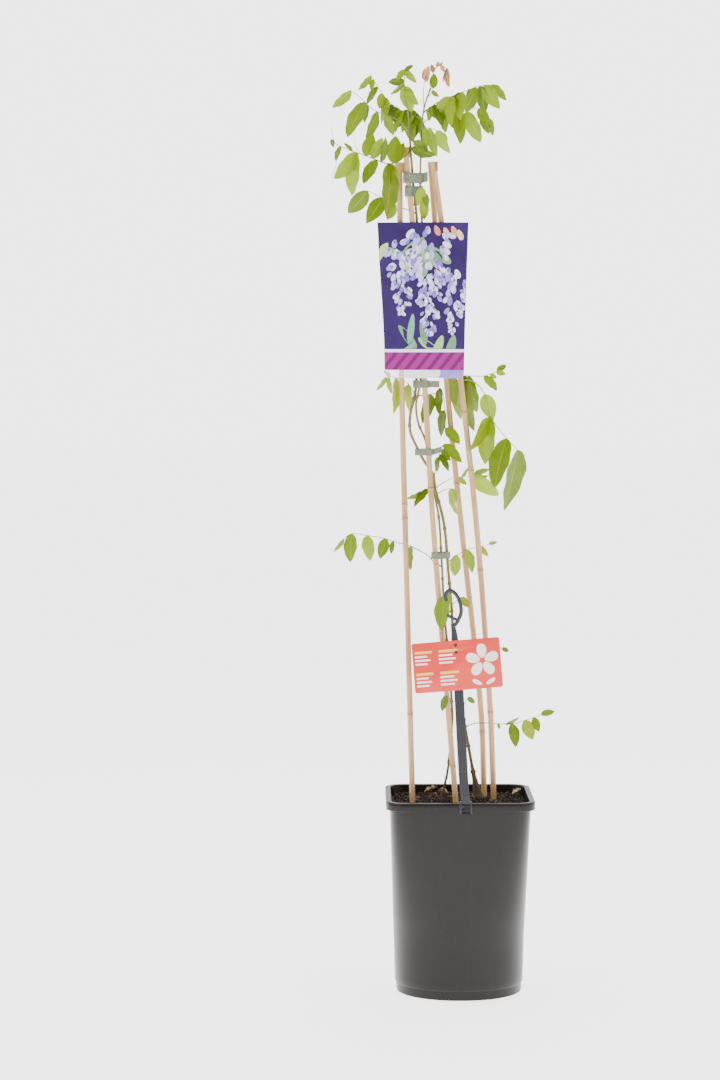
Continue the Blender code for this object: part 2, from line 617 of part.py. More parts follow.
def strap(collection, lean_point):
    """The strap: a flat strip clipped over the pot's rim, with pegs for the card and a hook at its top."""
    strap_body = strip("strap", STRAP, collection, "strap", STRAP_THICK)
    x, y, z, width = STRAP[1]
    inner = STRAP_THICK / 2 + GAP / MM - body_ring(CLIP_FOOT_Z, POT_WALL)[0]
    top = POT_HEIGHT + STRAP_THICK / 2 + GAP / MM
    clip = strip("clip", ((x, inner, CLIP_FOOT_Z, width), (x, inner, top, width), (x, y, top, width)),
                 collection, "strap", STRAP_THICK)
    pieces = [clip]
    for name, path in (("hook", smooth_path(HOOK, 16)), ("hook_bar", HOOK_BAR)):
        rows = [(*point, HOOK_RADIUS) for point in path]
        pieces.append(tube(name, rows, collection, "strap", resolution=1))
    for index, (x, z) in enumerate(PEGS):
        bm = bmesh.new()
        bmesh.ops.create_cone(bm, cap_ends=True, segments=10, radius1=PEG_RADIUS * MM,
                              radius2=PEG_RADIUS * MM, depth=4 * MM)
        peg = object_from(f"peg_{index}", bm, collection, "strap")
        peg.rotation_euler = (math.pi / 2 - math.atan(STRAP_LEAN), 0, 0)
        peg.location = mm(x, lean_point(z) - 1.6, z)
        pieces.append(peg)
    return joined(strap_body, pieces)


def care_card(collection, helpers, lean_point):
    """The care card: a thin plastic rectangle with rounded corners, hung on the strap's two pegs."""
    bm = bmesh.new()
    bmesh.ops.create_cube(bm, size=1)
    bmesh.ops.scale(bm, verts=bm.verts, vec=mm(CARD_WIDTH, CARD_THICK, CARD_HEIGHT))
    through = 0.5 * CARD_THICK * MM
    upright = [edge for edge in bm.edges if abs(edge.verts[0].co.y - edge.verts[1].co.y) > through]
    bmesh.ops.bevel(bm, geom=upright, offset=3 * MM, segments=3, affect="EDGES", profile=0.5)
    card = object_from("care_card", bm, collection, "card")
    card.matrix_world = (
        Matrix.Translation(mm(*CARD_CENTRE))
        @ Matrix.Rotation(-math.atan(STRAP_LEAN), 4, "X")
        @ Matrix.Rotation(-CARD_TURN, 4, "Y")
    )
    holes = []
    for index, (x, z) in enumerate(PEGS):
        bm = bmesh.new()
        bmesh.ops.create_cone(bm, cap_ends=True, segments=12, radius1=(PEG_RADIUS + 0.5) * MM,
                              radius2=(PEG_RADIUS + 0.5) * MM, depth=12 * MM)
        hole = object_from(f"hole_{index}", bm, helpers, "card")
        hole.rotation_euler = (math.pi / 2 - math.atan(STRAP_LEAN), 0, 0)
        hole.location = mm(x, lean_point(z) - 1.6, z)
        holes.append(hole)
    bpy.context.view_layer.update()
    return joined(card, holes, "DIFFERENCE")


def picture_label(collection, front_of):
    """The picture label: a thin plastic sheet, wider at its top, bowed round the front cane."""
    bm = bmesh.new()
    rows = []
    for z, left, right in LABEL_ROWS:
        row = []
        for column in range(LABEL_COLUMNS + 1):
            across = column / LABEL_COLUMNS
            x = left + (right - left) * across
            bow = LABEL_BOW * (2 * across - 1) ** 2
            row.append(bm.verts.new(mm(x, front_of(z) - LABEL_THICK / 2 + bow, z)))
        rows.append(row)
    for low, high in zip(rows, rows[1:]):
        for i in range(LABEL_COLUMNS):
            bm.faces.new((low[i], low[i + 1], high[i + 1], high[i]))
    bmesh.ops.triangulate(bm, faces=bm.faces)
    sheet = object_from("picture_label", bm, collection, "label")
    shell = sheet.modifiers.new("Solidify", "SOLIDIFY")
    shell.thickness = LABEL_THICK * MM
    shell.offset = 0
    return applied(sheet)


def blade(name, base, heading, normal, length, collection, colour):
    """A leaflet: an egg-shaped blade drawn out to a point, folded along its rib and arched."""
    profile = ((0, 0), (0.14, 0.62), (0.4, 1.0), (0.72, 0.6), (1, 0))
    if length > 42:
        profile = ((0, 0), (0.1, 0.5), (0.3, 0.97), (0.55, 0.9), (0.8, 0.42), (1, 0))
    if length < 17:
        profile = ((0, 0), (0.34, 1.0), (0.7, 0.62), (1, 0))
    bm = bmesh.new()
    bmesh.ops.create_grid(bm, x_segments=len(profile) - 1, y_segments=2, size=0.5)
    for vert in bm.verts:
        along, wide = profile[round((vert.co.x + 0.5) * (len(profile) - 1))]
        side = round(2 * vert.co.y)
        half = wide * length * BLADE_RATIO / 2
        arch = -0.12 * length * along**2 + 0.22 * half * abs(side)
        vert.co = mm(along * length, side * half, arch)
    bmesh.ops.remove_doubles(bm, verts=bm.verts, dist=1e-6)
    bmesh.ops.triangulate(bm, faces=bm.faces)
    bmesh.ops.recalc_face_normals(bm, faces=bm.faces)
    across = normal.cross(heading)
    place = Matrix((heading, across, normal)).transposed().to_4x4()
    place.translation = base
    bm.transform(place)
    leaflet = object_from(name, bm, collection, colour)
    shell = leaflet.modifiers.new("Solidify", "SOLIDIFY")
    shell.thickness = BLADE_THICK * MM
    shell.offset = 0
    return applied(leaflet)


def leaflet_frame(heading, lean, turn):
    """A leaflet's direction and its face's normal, from how it looks from the front."""
    flat = Vector((math.cos(heading), 0, math.sin(heading)))
    along = flat * math.cos(lean) + Vector((0, -1, 0)) * math.sin(lean)
    facing = Vector((0, -1, 0))
    normal = (facing - along * facing.dot(along)).normalized()
    return along, Matrix.Rotation(turn, 3, along) @ normal


def sprung_from(stems, point, radius):
    """The point moved so that a stalk of this radius just clears the nearest stem there."""
    nearest = None
    for rows in stems.values():
        fine = smooth_path(rows, len(rows) * 8)
        away = np.linalg.norm(fine[:, :3] - np.array(point), axis=1)
        best = int(np.argmin(away))
        if nearest is None or away[best] < nearest[0]:
            nearest = (away[best], fine[best])
    at, stem_radius = nearest[1][:3], nearest[1][3]
    out = (np.array(point) - at) / nearest[0]
    return tuple(at + out * (stem_radius + radius * 0.6 + 0.7))


def frond(name, spec, stems, collection):
    """A frond: a thin stalk that springs from the nearest stem, with its leaflets joined to it."""
    colour, radius, points, leaflets = spec
    points = [sprung_from(stems, points[0], radius), *points[1:]]
    count = max(4, len(points) + 1)
    path = smooth_path(points, count)
    taper = np.linspace(radius, radius * 0.6, count)
    stalk = tube(name, np.c_[path, taper], collection, colour, resolution=0)
    blades = []
    for index, (along, heading, length, turn) in enumerate(leaflets):
        lean = BLADE_LEAN if index % 2 else -BLADE_LEAN
        spin = math.radians(turn if index % 3 else -turn)
        direction, normal = leaflet_frame(math.radians(heading), lean, spin)
        at = [np.interp(along * (count - 1), range(count), column) for column in path.T]
        base = mm(*at) - direction * 0.3 * MM
        blades.append(blade(f"{name}_{index}", base, direction, normal, length, collection, colour))
    return joined(stalk, blades)


def dry_leaf(name, spec, collection):
    """A dry leaf that lies on the soil."""
    (x, y), heading, length = spec
    angle = math.radians(heading)
    direction = Vector((math.cos(angle), math.sin(angle), 0.12)).normalized()
    normal = Vector((-direction.x * 0.12, -direction.y * 0.12, 1)).normalized()
    base = mm(x, y, soil_height(x, y) + SOIL_CRUMB + 2.2)
    return blade(name, base, direction, normal, length, collection, "dry")


def main():
    clear_scene()
    parts = new_collection("wisteria_in_a_pot")
    helpers = new_collection("cutters", hidden=True)
    pot(parts, helpers)
    canes = {name: cane_rows(*spec) for name, spec in CANES.items()}
    stems = {name: stem_rows(points) for name, points in STEMS.items()}
    cutters = []
    for name, rows in canes.items():
        tube(name, rows, parts, "bamboo", resolution=2)
        cutters.append(hole_cutter(name + "_hole", rows, helpers, 2))
    for name, rows in stems.items():
        tube(name, rows, parts, "bark")
        cutters.append(hole_cutter(name + "_hole", rows, helpers, 1))
    soil(parts, cutters)
    paths = {**canes, **stems}
    for name, spec in TIES.items():
        tie(name, spec, paths, parts)

    def strap_front(z):
        """How far forward the strap is at a height."""
        heights = [row[2] for row in STRAP[1:]]
        return float(np.interp(z, heights, [row[1] for row in STRAP[1:]]))

    def label_back(z):
        """How far forward the label's back is at a height, resting on the front cane."""
        x, y, radius = at_height(canes["cane_front"], z)
        return y - radius * NODE_SWELL - GAP / MM

    strap(parts, strap_front)
    care_card(parts, helpers, strap_front)
    picture_label(parts, label_back)
    for name, spec in FRONDS.items():
        frond(name, spec, stems, parts)
    for name, spec in DRY_LEAVES.items():
        dry_leaf(name, spec, parts)


main()
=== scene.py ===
import math
import random

import bmesh
import bpy
import numpy as np
from mathutils import Matrix, Vector, noise


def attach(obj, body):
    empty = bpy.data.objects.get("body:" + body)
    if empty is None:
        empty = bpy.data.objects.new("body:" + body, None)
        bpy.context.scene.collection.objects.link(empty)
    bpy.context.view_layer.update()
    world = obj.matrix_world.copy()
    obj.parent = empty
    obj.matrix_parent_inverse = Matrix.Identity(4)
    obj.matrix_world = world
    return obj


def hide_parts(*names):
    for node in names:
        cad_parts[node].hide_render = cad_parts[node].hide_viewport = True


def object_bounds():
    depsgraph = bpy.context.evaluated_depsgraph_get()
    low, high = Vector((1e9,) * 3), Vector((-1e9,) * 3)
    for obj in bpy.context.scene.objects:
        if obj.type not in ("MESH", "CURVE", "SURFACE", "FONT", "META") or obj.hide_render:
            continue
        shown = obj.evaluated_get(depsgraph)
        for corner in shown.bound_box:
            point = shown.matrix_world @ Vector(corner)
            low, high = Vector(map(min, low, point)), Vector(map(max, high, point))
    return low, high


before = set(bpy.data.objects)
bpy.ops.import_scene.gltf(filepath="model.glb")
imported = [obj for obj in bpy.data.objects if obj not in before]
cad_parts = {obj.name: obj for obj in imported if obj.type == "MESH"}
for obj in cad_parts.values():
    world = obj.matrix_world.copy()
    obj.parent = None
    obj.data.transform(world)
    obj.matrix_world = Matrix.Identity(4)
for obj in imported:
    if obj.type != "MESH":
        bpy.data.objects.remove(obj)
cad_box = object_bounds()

# The view. The camera stands 4.2 m in front of the pot, a little to its left and a little above the plant's
# middle, and looks slightly down. The plant stands on a glowing white floor in a white studio, whose light
# comes mostly from behind it. Here places and sizes are in metres, and from the pot on in millimetres.
MM = 0.001
CAMERA_PLACE = (-0.1355, -4.2, 0.8475)
CAMERA_TILT = math.radians(3.134)
FRAME_HEIGHT_MM = 36
FOCAL_MM = 102.83
# Each soft light: its place, the point that it faces, its side and its power in watts
SOFT_LIGHTS = (
    ((-2.4, -2.0, 1.9), (0, 0, 0.6), 1.8, 30),
    ((2.3, -1.6, 1.7), (0, 0, 0.6), 1.6, 18),
    ((0.2, 1.6, 2.6), (0, 0, 0.9), 1.6, 24),
)
LIGHT_IN_FRONT, LIGHT_BEHIND = 0.35, 2.0
BACKDROP_BRIGHTNESS = 3.9
FLOOR_GLOW = 2.6
FLOOR_SIDE = 60
bpy.ops.object.camera_add(location=CAMERA_PLACE, rotation=(math.pi / 2 - CAMERA_TILT, 0, 0))
camera = bpy.context.object
camera.data.sensor_fit = "VERTICAL"
camera.data.sensor_height = FRAME_HEIGHT_MM
camera.data.lens = FOCAL_MM
bpy.context.scene.camera = camera


def soft_light(place, aim, side, watts):
    """A large square studio light at a place, turned to face a point."""
    bpy.ops.object.light_add(type="AREA", location=place)
    light = bpy.context.object
    light.data.shape = "SQUARE"
    light.data.size = side
    light.data.energy = watts
    away = Vector(place) - Vector(aim)
    light.rotation_euler = away.to_track_quat("Z", "Y").to_euler()


for place, aim, side, watts in SOFT_LIGHTS:
    soft_light(place, aim, side, watts)


def linear(code):
    """An sRGB hex colour as a linear red, green, blue and alpha."""
    parts = [int(code[start:start + 2], 16) / 255 for start in (0, 2, 4)]
    return (*[c / 12.92 if c <= 0.04045 else ((c + 0.055) / 1.055) ** 2.4 for c in parts], 1)


def new_material(name, colour, roughness, **values):
    """A material with its colour, its roughness and any other values of its shader."""
    made = bpy.data.materials.new(name)
    made.use_nodes = True
    shader = made.node_tree.nodes["Principled BSDF"]
    shader.inputs["Base Color"].default_value = linear(colour)
    shader.inputs["Roughness"].default_value = roughness
    for socket, value in values.items():
        shader.inputs[socket.replace("_", " ")].default_value = value
    return made


def add(material, kind, sockets, settings=None, out=0):
    """Adds a node: a socket takes a value or the output linked to it. Returns one of the node's outputs."""
    tree = material.node_tree
    made = tree.nodes.new("ShaderNode" + kind)
    for name, value in (settings or {}).items():
        setattr(made, name, value)
    for name, value in sockets.items():
        if isinstance(value, bpy.types.NodeSocket):
            tree.links.new(value, made.inputs[name])
        else:
            made.inputs[name].default_value = value
    return made.outputs[out]


def wire(material, **outputs):
    """Links outputs to the sockets of the material's shader."""
    shader = material.node_tree.nodes["Principled BSDF"]
    for socket, output in outputs.items():
        material.node_tree.links.new(output, shader.inputs[socket.replace("_", " ")])


def grains(size):
    """The scale of a pattern whose grains are this many millimetres across."""
    return 1 / (size * MM)


# White studio: its light grows from the camera's side to the far side, and the camera sees it as one even
# white.
room = bpy.data.worlds.new("white studio")
bpy.context.scene.world = room
room.use_nodes = True
way = add(room, "SeparateXYZ", {"Vector": add(room, "TexCoord", {}, out="Generated")}, out="Y")
lights = {"To Min": LIGHT_IN_FRONT, "To Max": LIGHT_BEHIND}
level = add(room, "MapRange", {"Value": way, "From Min": -1.0, **lights})
lighting = add(room, "Background", {"Color": (1, 1, 1, 1), "Strength": level})
backdrop = add(room, "Background", {"Color": (1, 1, 1, 1), "Strength": BACKDROP_BRIGHTNESS})
seen = add(room, "LightPath", {}, out="Is Camera Ray")
shown = add(room, "MixShader", {0: seen, 1: lighting, 2: backdrop})
room.node_tree.links.new(shown, room.node_tree.nodes["World Output"].inputs["Surface"])

# Opal acrylic sheet, lit from beneath: white and even, with a faint unevenness.
board = new_material("opal acrylic sheet", "F6F6F5", 0.85,
                     Emission_Color=linear("FFFFFF"), Emission_Strength=FLOOR_GLOW)
where = add(board, "TexCoord", {}, out="Object")
cloudy = add(board, "TexNoise", {"Vector": where, "Scale": grains(667), "Detail": 2.0})
tint = add(board, "MixRGB", {"Fac": cloudy, "Color1": linear("F8F8F7"), "Color2": linear("F3F3F2")})
wire(board, Base_Color=tint)
bpy.ops.mesh.primitive_plane_add(size=FLOOR_SIDE)
floor = bpy.context.object
floor.name = "floor"
floor.data.materials.append(board)

# The nursery pot: black-brown recycled polypropylene, injection moulded in one piece. Its foot is round and
# its rim square, and the rim is folded outwards into a lip. It is satin, with faint flow marks and scuffs.
POT_HEIGHT = 270
WALL = 1.8
FLOOR_THICK = 3.0
# Half of the pot's width at its foot, at the bottom and the top of its body, and at its rim
FOOT_HALF = 85.5
BODY_HALF_LOW = 87.7
BODY_HALF_TOP = 95.0
RIM_HALF = 100.5
# The body stands out over the foot from this height. Its lowest share is round, but for short flats.
FOOT_STEP_Z = 14
ROUND_SHARE = 0.28
ROUND_FLAT = 2
SQUARING = 0.8
RIM_CORNER = 23.0
LIP_CORNER = 27.0
LIP_DEPTH = 11.5
CORNER_STEPS = 12
DRAIN_RADIUS = 5.0
DRAIN_RING = 55.0
MERGE = 1e-6


def rounded_square(half, radius, z):
    """A ring of points round a square with rounded corners, in metres, from the front right."""
    ring = []
    for quarter in range(4):
        centre = Matrix.Rotation(quarter * math.pi / 2, 3, "Z") @ Vector((half - radius, radius - half, 0))
        for step in range(CORNER_STEPS + 1):
            angle = (quarter - 1 + step / CORNER_STEPS) * math.pi / 2
            x, y = centre.x + radius * math.cos(angle), centre.y + radius * math.sin(angle)
            ring.append(Vector((x, y, z)) * MM)
    return ring


def wall_ring(z, inset=0.0):
    """The pot's wall at a height, brought in by an inset: round below, square at the rim."""
    up = max(0.0, (z - FOOT_STEP_Z) / (POT_HEIGHT - FOOT_STEP_Z))
    half = BODY_HALF_LOW + (BODY_HALF_TOP - BODY_HALF_LOW) * up
    square = (max(0.0, up - ROUND_SHARE) / (1 - ROUND_SHARE)) ** SQUARING
    radius = (half - ROUND_FLAT) * (1 - square) + RIM_CORNER * square
    return rounded_square(half - inset, radius - inset, z)


def deselect():
    """Nothing selected, in object mode."""
    bpy.ops.object.select_all(action="DESELECT")


def choose(*pieces):
    """Selects these pieces alone and makes the first of them the active one."""
    deselect()
    for piece in pieces:
        piece.select_set(True)
    bpy.context.view_layer.objects.active = pieces[0]


def seal():
    """In edit mode, merges the piece's doubled points, turns its faces outwards, and leaves edit mode."""
    bpy.ops.mesh.select_all(action="SELECT")
    bpy.ops.mesh.remove_doubles(threshold=MERGE)
    bpy.ops.mesh.normals_make_consistent(inside=False)
    bpy.ops.object.mode_set(mode="OBJECT")


def extruded(name, rings, closed=False):
    """A solid made by extruding a flat ring of points on through the others, or a band closed on itself."""
    deselect()
    bpy.ops.mesh.primitive_circle_add(vertices=len(rings[0]), fill_type="NOTHING" if closed else "NGON")
    piece = bpy.context.object
    piece.name = name
    for vert, point in zip(piece.data.vertices, rings[0]):
        vert.co = point
    bpy.ops.object.mode_set(mode="EDIT")
    bpy.ops.mesh.select_all(action="SELECT")
    for before, after in zip(rings, rings[1:]):
        bpy.ops.mesh.extrude_region_move()
        bm = bmesh.from_edit_mesh(piece.data)
        for vert in [vert for vert in bm.verts if vert.select]:
            nearest = min(range(len(before)), key=lambda i: (before[i] - vert.co).length_squared)
            vert.co = after[nearest]
        bmesh.update_edit_mesh(piece.data)
    seal()
    return piece


def finished(piece, material, slot, *nodes, angle=40):
    """A finished piece: shaded smooth up to an angle, given its material, riding in place of its nodes."""
    choose(piece)
    bpy.ops.object.shade_smooth_by_angle(angle=math.radians(angle))
    if material:
        piece.data.materials.clear()
        piece.data.materials.append(material)
    if nodes:
        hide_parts(*nodes)
    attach(piece, "root")
    return piece


def modified(piece, kind, **settings):
    """Adds a modifier with its settings and applies it."""
    choose(piece)
    change = piece.modifiers.new(kind, kind)
    for name, value in settings.items():
        setattr(change, name, value)
    bpy.ops.object.modifier_apply(modifier=change.name)
    return piece


def drilled(piece, bit):
    """Cuts a bit's shape out of a piece, and removes the bit."""
    modified(piece, "BOOLEAN", object=bit, operation="DIFFERENCE")
    bpy.data.objects.remove(bit)


# The rings of the foot: how far in each is, how long half of its flats is, and its height
foot_rings = ((1.5, 2.5, 0), (0.4, 2.2, 0.5), *((0, ROUND_FLAT, z) for z in (1.6, 5, 9, FOOT_STEP_Z - 2.2)))
# The rings of the lip, from under the rim down its inner face and up its outer one: how far in each is, and
# its height
skirt = POT_HEIGHT - LIP_DEPTH
lip_rings = ((WALL, POT_HEIGHT - WALL), (WALL, skirt), (0.9, skirt - 0.1), (0, skirt + 0.8), (0, 264),
             (0, POT_HEIGHT - 1.6), (0.5, POT_HEIGHT - 0.5), (1.6, POT_HEIGHT))
rings = [rounded_square(FOOT_HALF - inset, FOOT_HALF - inset - flat, z) for inset, flat, z in foot_rings]
rings += [wall_ring(FOOT_STEP_Z - 0.6, 0.6), wall_ring(FOOT_STEP_Z + 0.4)]
rings += [wall_ring(z) for z in (22, 40, 60, *range(80, 241, 16), 252, skirt)]
rings += [wall_ring(POT_HEIGHT - WALL - 1, -0.2)]
rings += [rounded_square(RIM_HALF - inset, LIP_CORNER - inset, z) for inset, z in lip_rings]
rings += [wall_ring(POT_HEIGHT - 0.2, 0.9), wall_ring(POT_HEIGHT - 1.2, WALL)]
rings += [wall_ring(z, WALL) for z in (262, 252, *range(240, 175, -16), 144, 112, 80, 40, FLOOR_THICK)]
pot = extruded("nursery_pot", rings)
for quarter in range(4):
    angle = (quarter + 0.5) * math.pi / 2
    place = Vector((math.cos(angle), math.sin(angle), 0)) * DRAIN_RING * MM
    deselect()
    bpy.ops.mesh.primitive_cylinder_add(vertices=32, radius=DRAIN_RADIUS * MM, depth=4 * FLOOR_THICK * MM,
                                        location=place)
    drilled(pot, bpy.context.object)

# Recycled polypropylene: a warm dark grey, cloudy where colours of scrap met, with faint upright flow marks.
plastic = new_material("recycled polypropylene", "1F1B1A", 0.3, Specular_IOR_Level=0.2)
where = add(plastic, "TexCoord", {}, out="Object")
long = add(plastic, "Mapping", {"Vector": where, "Scale": (1.0, 1.0, 0.22)})
cloudy = add(plastic, "TexNoise", {"Vector": where, "Scale": grains(83.3), "Detail": 4.0, "Roughness": 0.6})
flow = add(plastic, "TexNoise", {"Vector": long, "Scale": grains(6.25), "Detail": 3.0, "Roughness": 0.55})
speck = add(plastic, "TexNoise", {"Vector": where, "Scale": grains(1.11), "Detail": 1.0})
scuff = add(plastic, "MapRange", {"Value": flow, "From Min": 0.6, "From Max": 0.8, "To Max": 0.16})
tint = add(plastic, "MixRGB", {"Fac": cloudy, "Color1": linear("191615"), "Color2": linear("24201F")})
tint = add(plastic, "MixRGB", {"Fac": scuff, "Color1": tint, "Color2": linear("383331")})
gloss = add(plastic, "MapRange", {"Value": cloudy, "To Min": 0.2, "To Max": 0.4})
raised = add(plastic, "Math", {0: flow, 1: speck}, {"operation": "ADD"})
bump = add(plastic, "Bump", {"Height": raised, "Strength": 0.05, "Distance": 0.0006})
wire(plastic, Base_Color=tint, Roughness=gloss, Normal=bump)
finished(pot, plastic, "pot", "pot", angle=35)

# The potting compost: peat and bark fines, damp and dark, heaped a little to the middle. Its surface is a bed
# of crumbs from 1 to 6 mm, with flat chips of bark up to 10 mm long among them, around the canes and stems.
SOIL_LEVEL = 257
SOIL_MOUND = 5
SOIL_RINGS = 26
# The clear space that a piece keeps from the one it fits
GAP = 0.35
# How wide the lumps and the grit of the soil's surface are and how far they lift it, and how far it has sunk
LUMP, LUMP_LIFT = 9, 1.6
GRIT, GRIT_LIFT = 3, 0.9
SUNK = 0.8
# The bed that crumbs are strewn on: half its width, and where its rounded corners start and their radius
STREWN_HALF = 91
BED_HALF = 89
CORNER_FROM = 68
BED_ROUND = 20
CRUMBS, CRUMB_SIZES, CRUMB_FLATNESS = 2600, (1.2, 6.0), (0.6, 1.0)
CHIPS, CHIP_SIZES, CHIP_FLATNESS = 150, (4.0, 10.0), (0.2, 0.4)
CRUMB_ROUGHNESS = 0.25
CRUMB_LIFT = 0.18
chance = random.Random(11)


def soil_height(x, y):
    """The height of the soil's smooth surface in millimetres."""
    reach = max(abs(x), abs(y)) / BODY_HALF_TOP
    return SOIL_LEVEL + SOIL_MOUND * (1 - reach**2)


def rough(point, grain, depth):
    """How far a surface's grain lifts it at a point in millimetres."""
    return depth * noise.noise(Vector(point) / grain)


rings = [wall_ring(z, WALL + GAP) for z in (FLOOR_THICK + GAP, 90, 150, 215, 248, SOIL_LEVEL - 2)]
for step in range(SOIL_RINGS):
    scale = 0.995 * (1 - step / SOIL_RINGS)
    ring = []
    for corner in wall_ring(SOIL_LEVEL, WALL + GAP):
        x, y = corner.x / MM * scale, corner.y / MM * scale
        z = soil_height(x, y) + rough((x, y, 0), LUMP, LUMP_LIFT) + rough((x, y, 50), GRIT, GRIT_LIFT) - SUNK
        ring.append(Vector((x, y, z)) * MM)
    rings.append(ring)
soil = extruded("potting_compost", rings)

deselect()
bpy.ops.mesh.primitive_ico_sphere_add(subdivisions=1, radius=1)
crumb = bpy.context.object
crumb_points = np.array([vert.co for vert in crumb.data.vertices])
crumb_faces = [tuple(face.vertices) for face in crumb.data.polygons]
bpy.data.objects.remove(crumb)


def placed(name, mesh):
    """A mesh as an object in the scene."""
    made = bpy.data.objects.new(name, mesh)
    bpy.context.scene.collection.objects.link(made)
    return made


def scattered(name, count, sizes, flatness):
    """Crumbs strewn over the soil, each turned, squashed and roughened in its own way, most of them small."""
    points, faces = [], []
    while len(faces) < count * len(crumb_faces):
        x, y = chance.uniform(-STREWN_HALF, STREWN_HALF), chance.uniform(-STREWN_HALF, STREWN_HALF)
        into_corner = [max(0, abs(part) - CORNER_FROM) for part in (x, y)]
        if max(abs(x), abs(y)) > BED_HALF or math.hypot(*into_corner) > BED_ROUND:
            continue
        size = sizes[0] + (sizes[1] - sizes[0]) * chance.random() ** 3
        turn = Matrix.Rotation(chance.uniform(0, math.tau), 3, Vector([chance.gauss(0, 1) for _ in range(3)]))
        squash = np.array([chance.uniform(*span) for span in ((0.7, 1.3), (0.6, 1.1), flatness)]) * size / 2
        lumps = 1 + CRUMB_ROUGHNESS * np.array([[chance.gauss(0, 1)] for _ in crumb_points])
        shape = crumb_points * squash * lumps
        place = np.array((x, y, soil_height(x, y) + size * CRUMB_LIFT))
        start = len(points)
        points.extend((shape @ np.array(turn).T + place) * MM)
        faces.extend(tuple(start + corner for corner in face) for face in crumb_faces)
    mesh = bpy.data.meshes.new(name)
    mesh.from_pydata([tuple(point) for point in points], [], faces)
    return placed(name, mesh)


# Damp peat: almost black brown, matt, with paler fibres where it has dried.
peat = new_material("damp peat compost", "2E211A", 0.95)
where = add(peat, "TexCoord", {}, out="Object")
coarse = add(peat, "TexNoise", {"Vector": where, "Scale": grains(9.09), "Detail": 5.0, "Roughness": 0.7})
fine = add(peat, "TexNoise", {"Vector": where, "Scale": grains(1.43), "Detail": 3.0})
dry = add(peat, "MapRange", {"Value": coarse, "From Min": 0.4, "From Max": 0.75})
tint = add(peat, "MixRGB", {"Fac": dry, "Color1": linear("1A1410"), "Color2": linear("4C3A2C")})
bump = add(peat, "Bump", {"Height": fine, "Strength": 0.9, "Distance": 0.0012})
wire(peat, Base_Color=tint, Normal=bump)
finished(soil, peat, "soil", "soil", angle=60)
finished(scattered("compost_crumbs", CRUMBS, CRUMB_SIZES, CRUMB_FLATNESS), peat, "soil", angle=25)

# Bark chips: split pine bark, red brown to tan, dry and matt.
chips = new_material("split pine bark", "5E4230", 0.9)
where = add(chips, "TexCoord", {}, out="Object")
grain = add(chips, "TexNoise", {"Vector": where, "Scale": grains(4.17), "Detail": 4.0})
tint = add(chips, "MixRGB", {"Fac": grain, "Color1": linear("30241B"), "Color2": linear("7E664C")})
bump = add(chips, "Bump", {"Height": grain, "Strength": 0.7, "Distance": 0.001})
wire(chips, Base_Color=tint, Normal=bump)
finished(scattered("bark_chips", CHIPS, CHIP_SIZES, CHIP_FLATNESS), chips, "soil", angle=25)

# The four canes: slim whole bamboo, 8 mm thick, pushed into the soil and leaned together. Each has a raised
# ring at its nodes with a groove above it, and is sawn off square, which shows the hollow inside.
CANE_RADIUS = 3.9
CANE_FOOT_Z = 40
CANE_LEVELS = 24
NODE_SWELL = 1.2
# A node's outline: heights from the node, and the cane's thickness there as a share of its own
NODE_OUTLINE = (
    (-9, 1.0), (-5, 1.02), (-2.6, 1.07), (-1.2, NODE_SWELL), (-0.2, 1.12), (0.4, 1.0), (1.2, 1.13),
    (2.6, 1.05), (5, 1.0),
)
NODE_REACH = 12
# How far above a node its brown ring has its middle, and over what height it fades
RING_MIDDLE = 0.4
RING_FADE = 1.6
HOLLOW_WALL = 1.3
HOLLOW_DEPTH = 14
# Each cane's points (x, y, z) from the soil to its top, and the heights of the rings on it
CANES = {
    "cane_left": (((-64, -28, 258), (-74, -19, 632), (-79, -14, 829), (-82, -6, 1129)), (382, 649, 668, 905)),
    "cane_front": (((-5, -38, 258), (-36, -28, 633), (-48, -22, 829), (-65, -16, 1051), (-73, -14, 1125),
                    (-74, -13, 1149)), (313, 587, 690, 862)),
    "cane_back": (((36, 34, 258), (30, 30, 395), (4, 23, 630), (-17, 18, 829), (-34, 11, 1055),
                   (-40, 9, 1131)), (352, 594, 694, 930)),
    "cane_right": (((48, 6, 258), (42, 4, 398), (24, 2, 631), (2, -1, 829), (-26, -3, 1055),
                    (-37, -4, 1130)), (382, 577, 713, 792, 980)),
}


def smooth_path(points, count):
    """This many points, evenly spread along the smooth curve through the given ones."""
    rows = [np.array(point, float) for point in points]
    rows = [2 * rows[0] - rows[1], *rows, 2 * rows[-1] - rows[-2]]
    fine = []
    for a, b, c, d in zip(rows, rows[1:], rows[2:], rows[3:]):
        for step in range(12):
            t = step / 12
            bend = (2 * a - 5 * b + 4 * c - d) * t**2 + (3 * b - a - 3 * c + d) * t**3
            fine.append(b + 0.5 * ((c - a) * t + bend))
    fine.append(rows[-2])
    fine = np.array(fine)
    along = np.r_[0, np.cumsum(np.linalg.norm(np.diff(fine[:, :3], axis=0), axis=1))]
    wanted = np.linspace(0, along[-1], count)
    return np.array([np.interp(wanted, along, column) for column in fine.T]).T


def tube(name, rows, resolution=3):
    """A round tube along rows of (x, y, z, radius) in millimetres, its ends closed, as a mesh."""
    deselect()
    bpy.ops.curve.primitive_nurbs_path_add()
    curve = bpy.context.object
    curve.name = name
    curve.data.splines.clear()
    curve.data.bevel_depth = MM
    curve.data.bevel_resolution = resolution
    curve.data.use_fill_caps = True
    curve.data.twist_mode = "MINIMUM"
    spline = curve.data.splines.new("POLY")
    spline.points.add(len(rows) - 1)
    for point, (x, y, z, radius) in zip(spline.points, rows):
        point.co = (x * MM, y * MM, z * MM, 1)
        point.radius = radius
    bpy.ops.object.convert(target="MESH")
    made = bpy.context.object
    made.name = name
    bpy.ops.object.mode_set(mode="EDIT")
    seal()
    return made


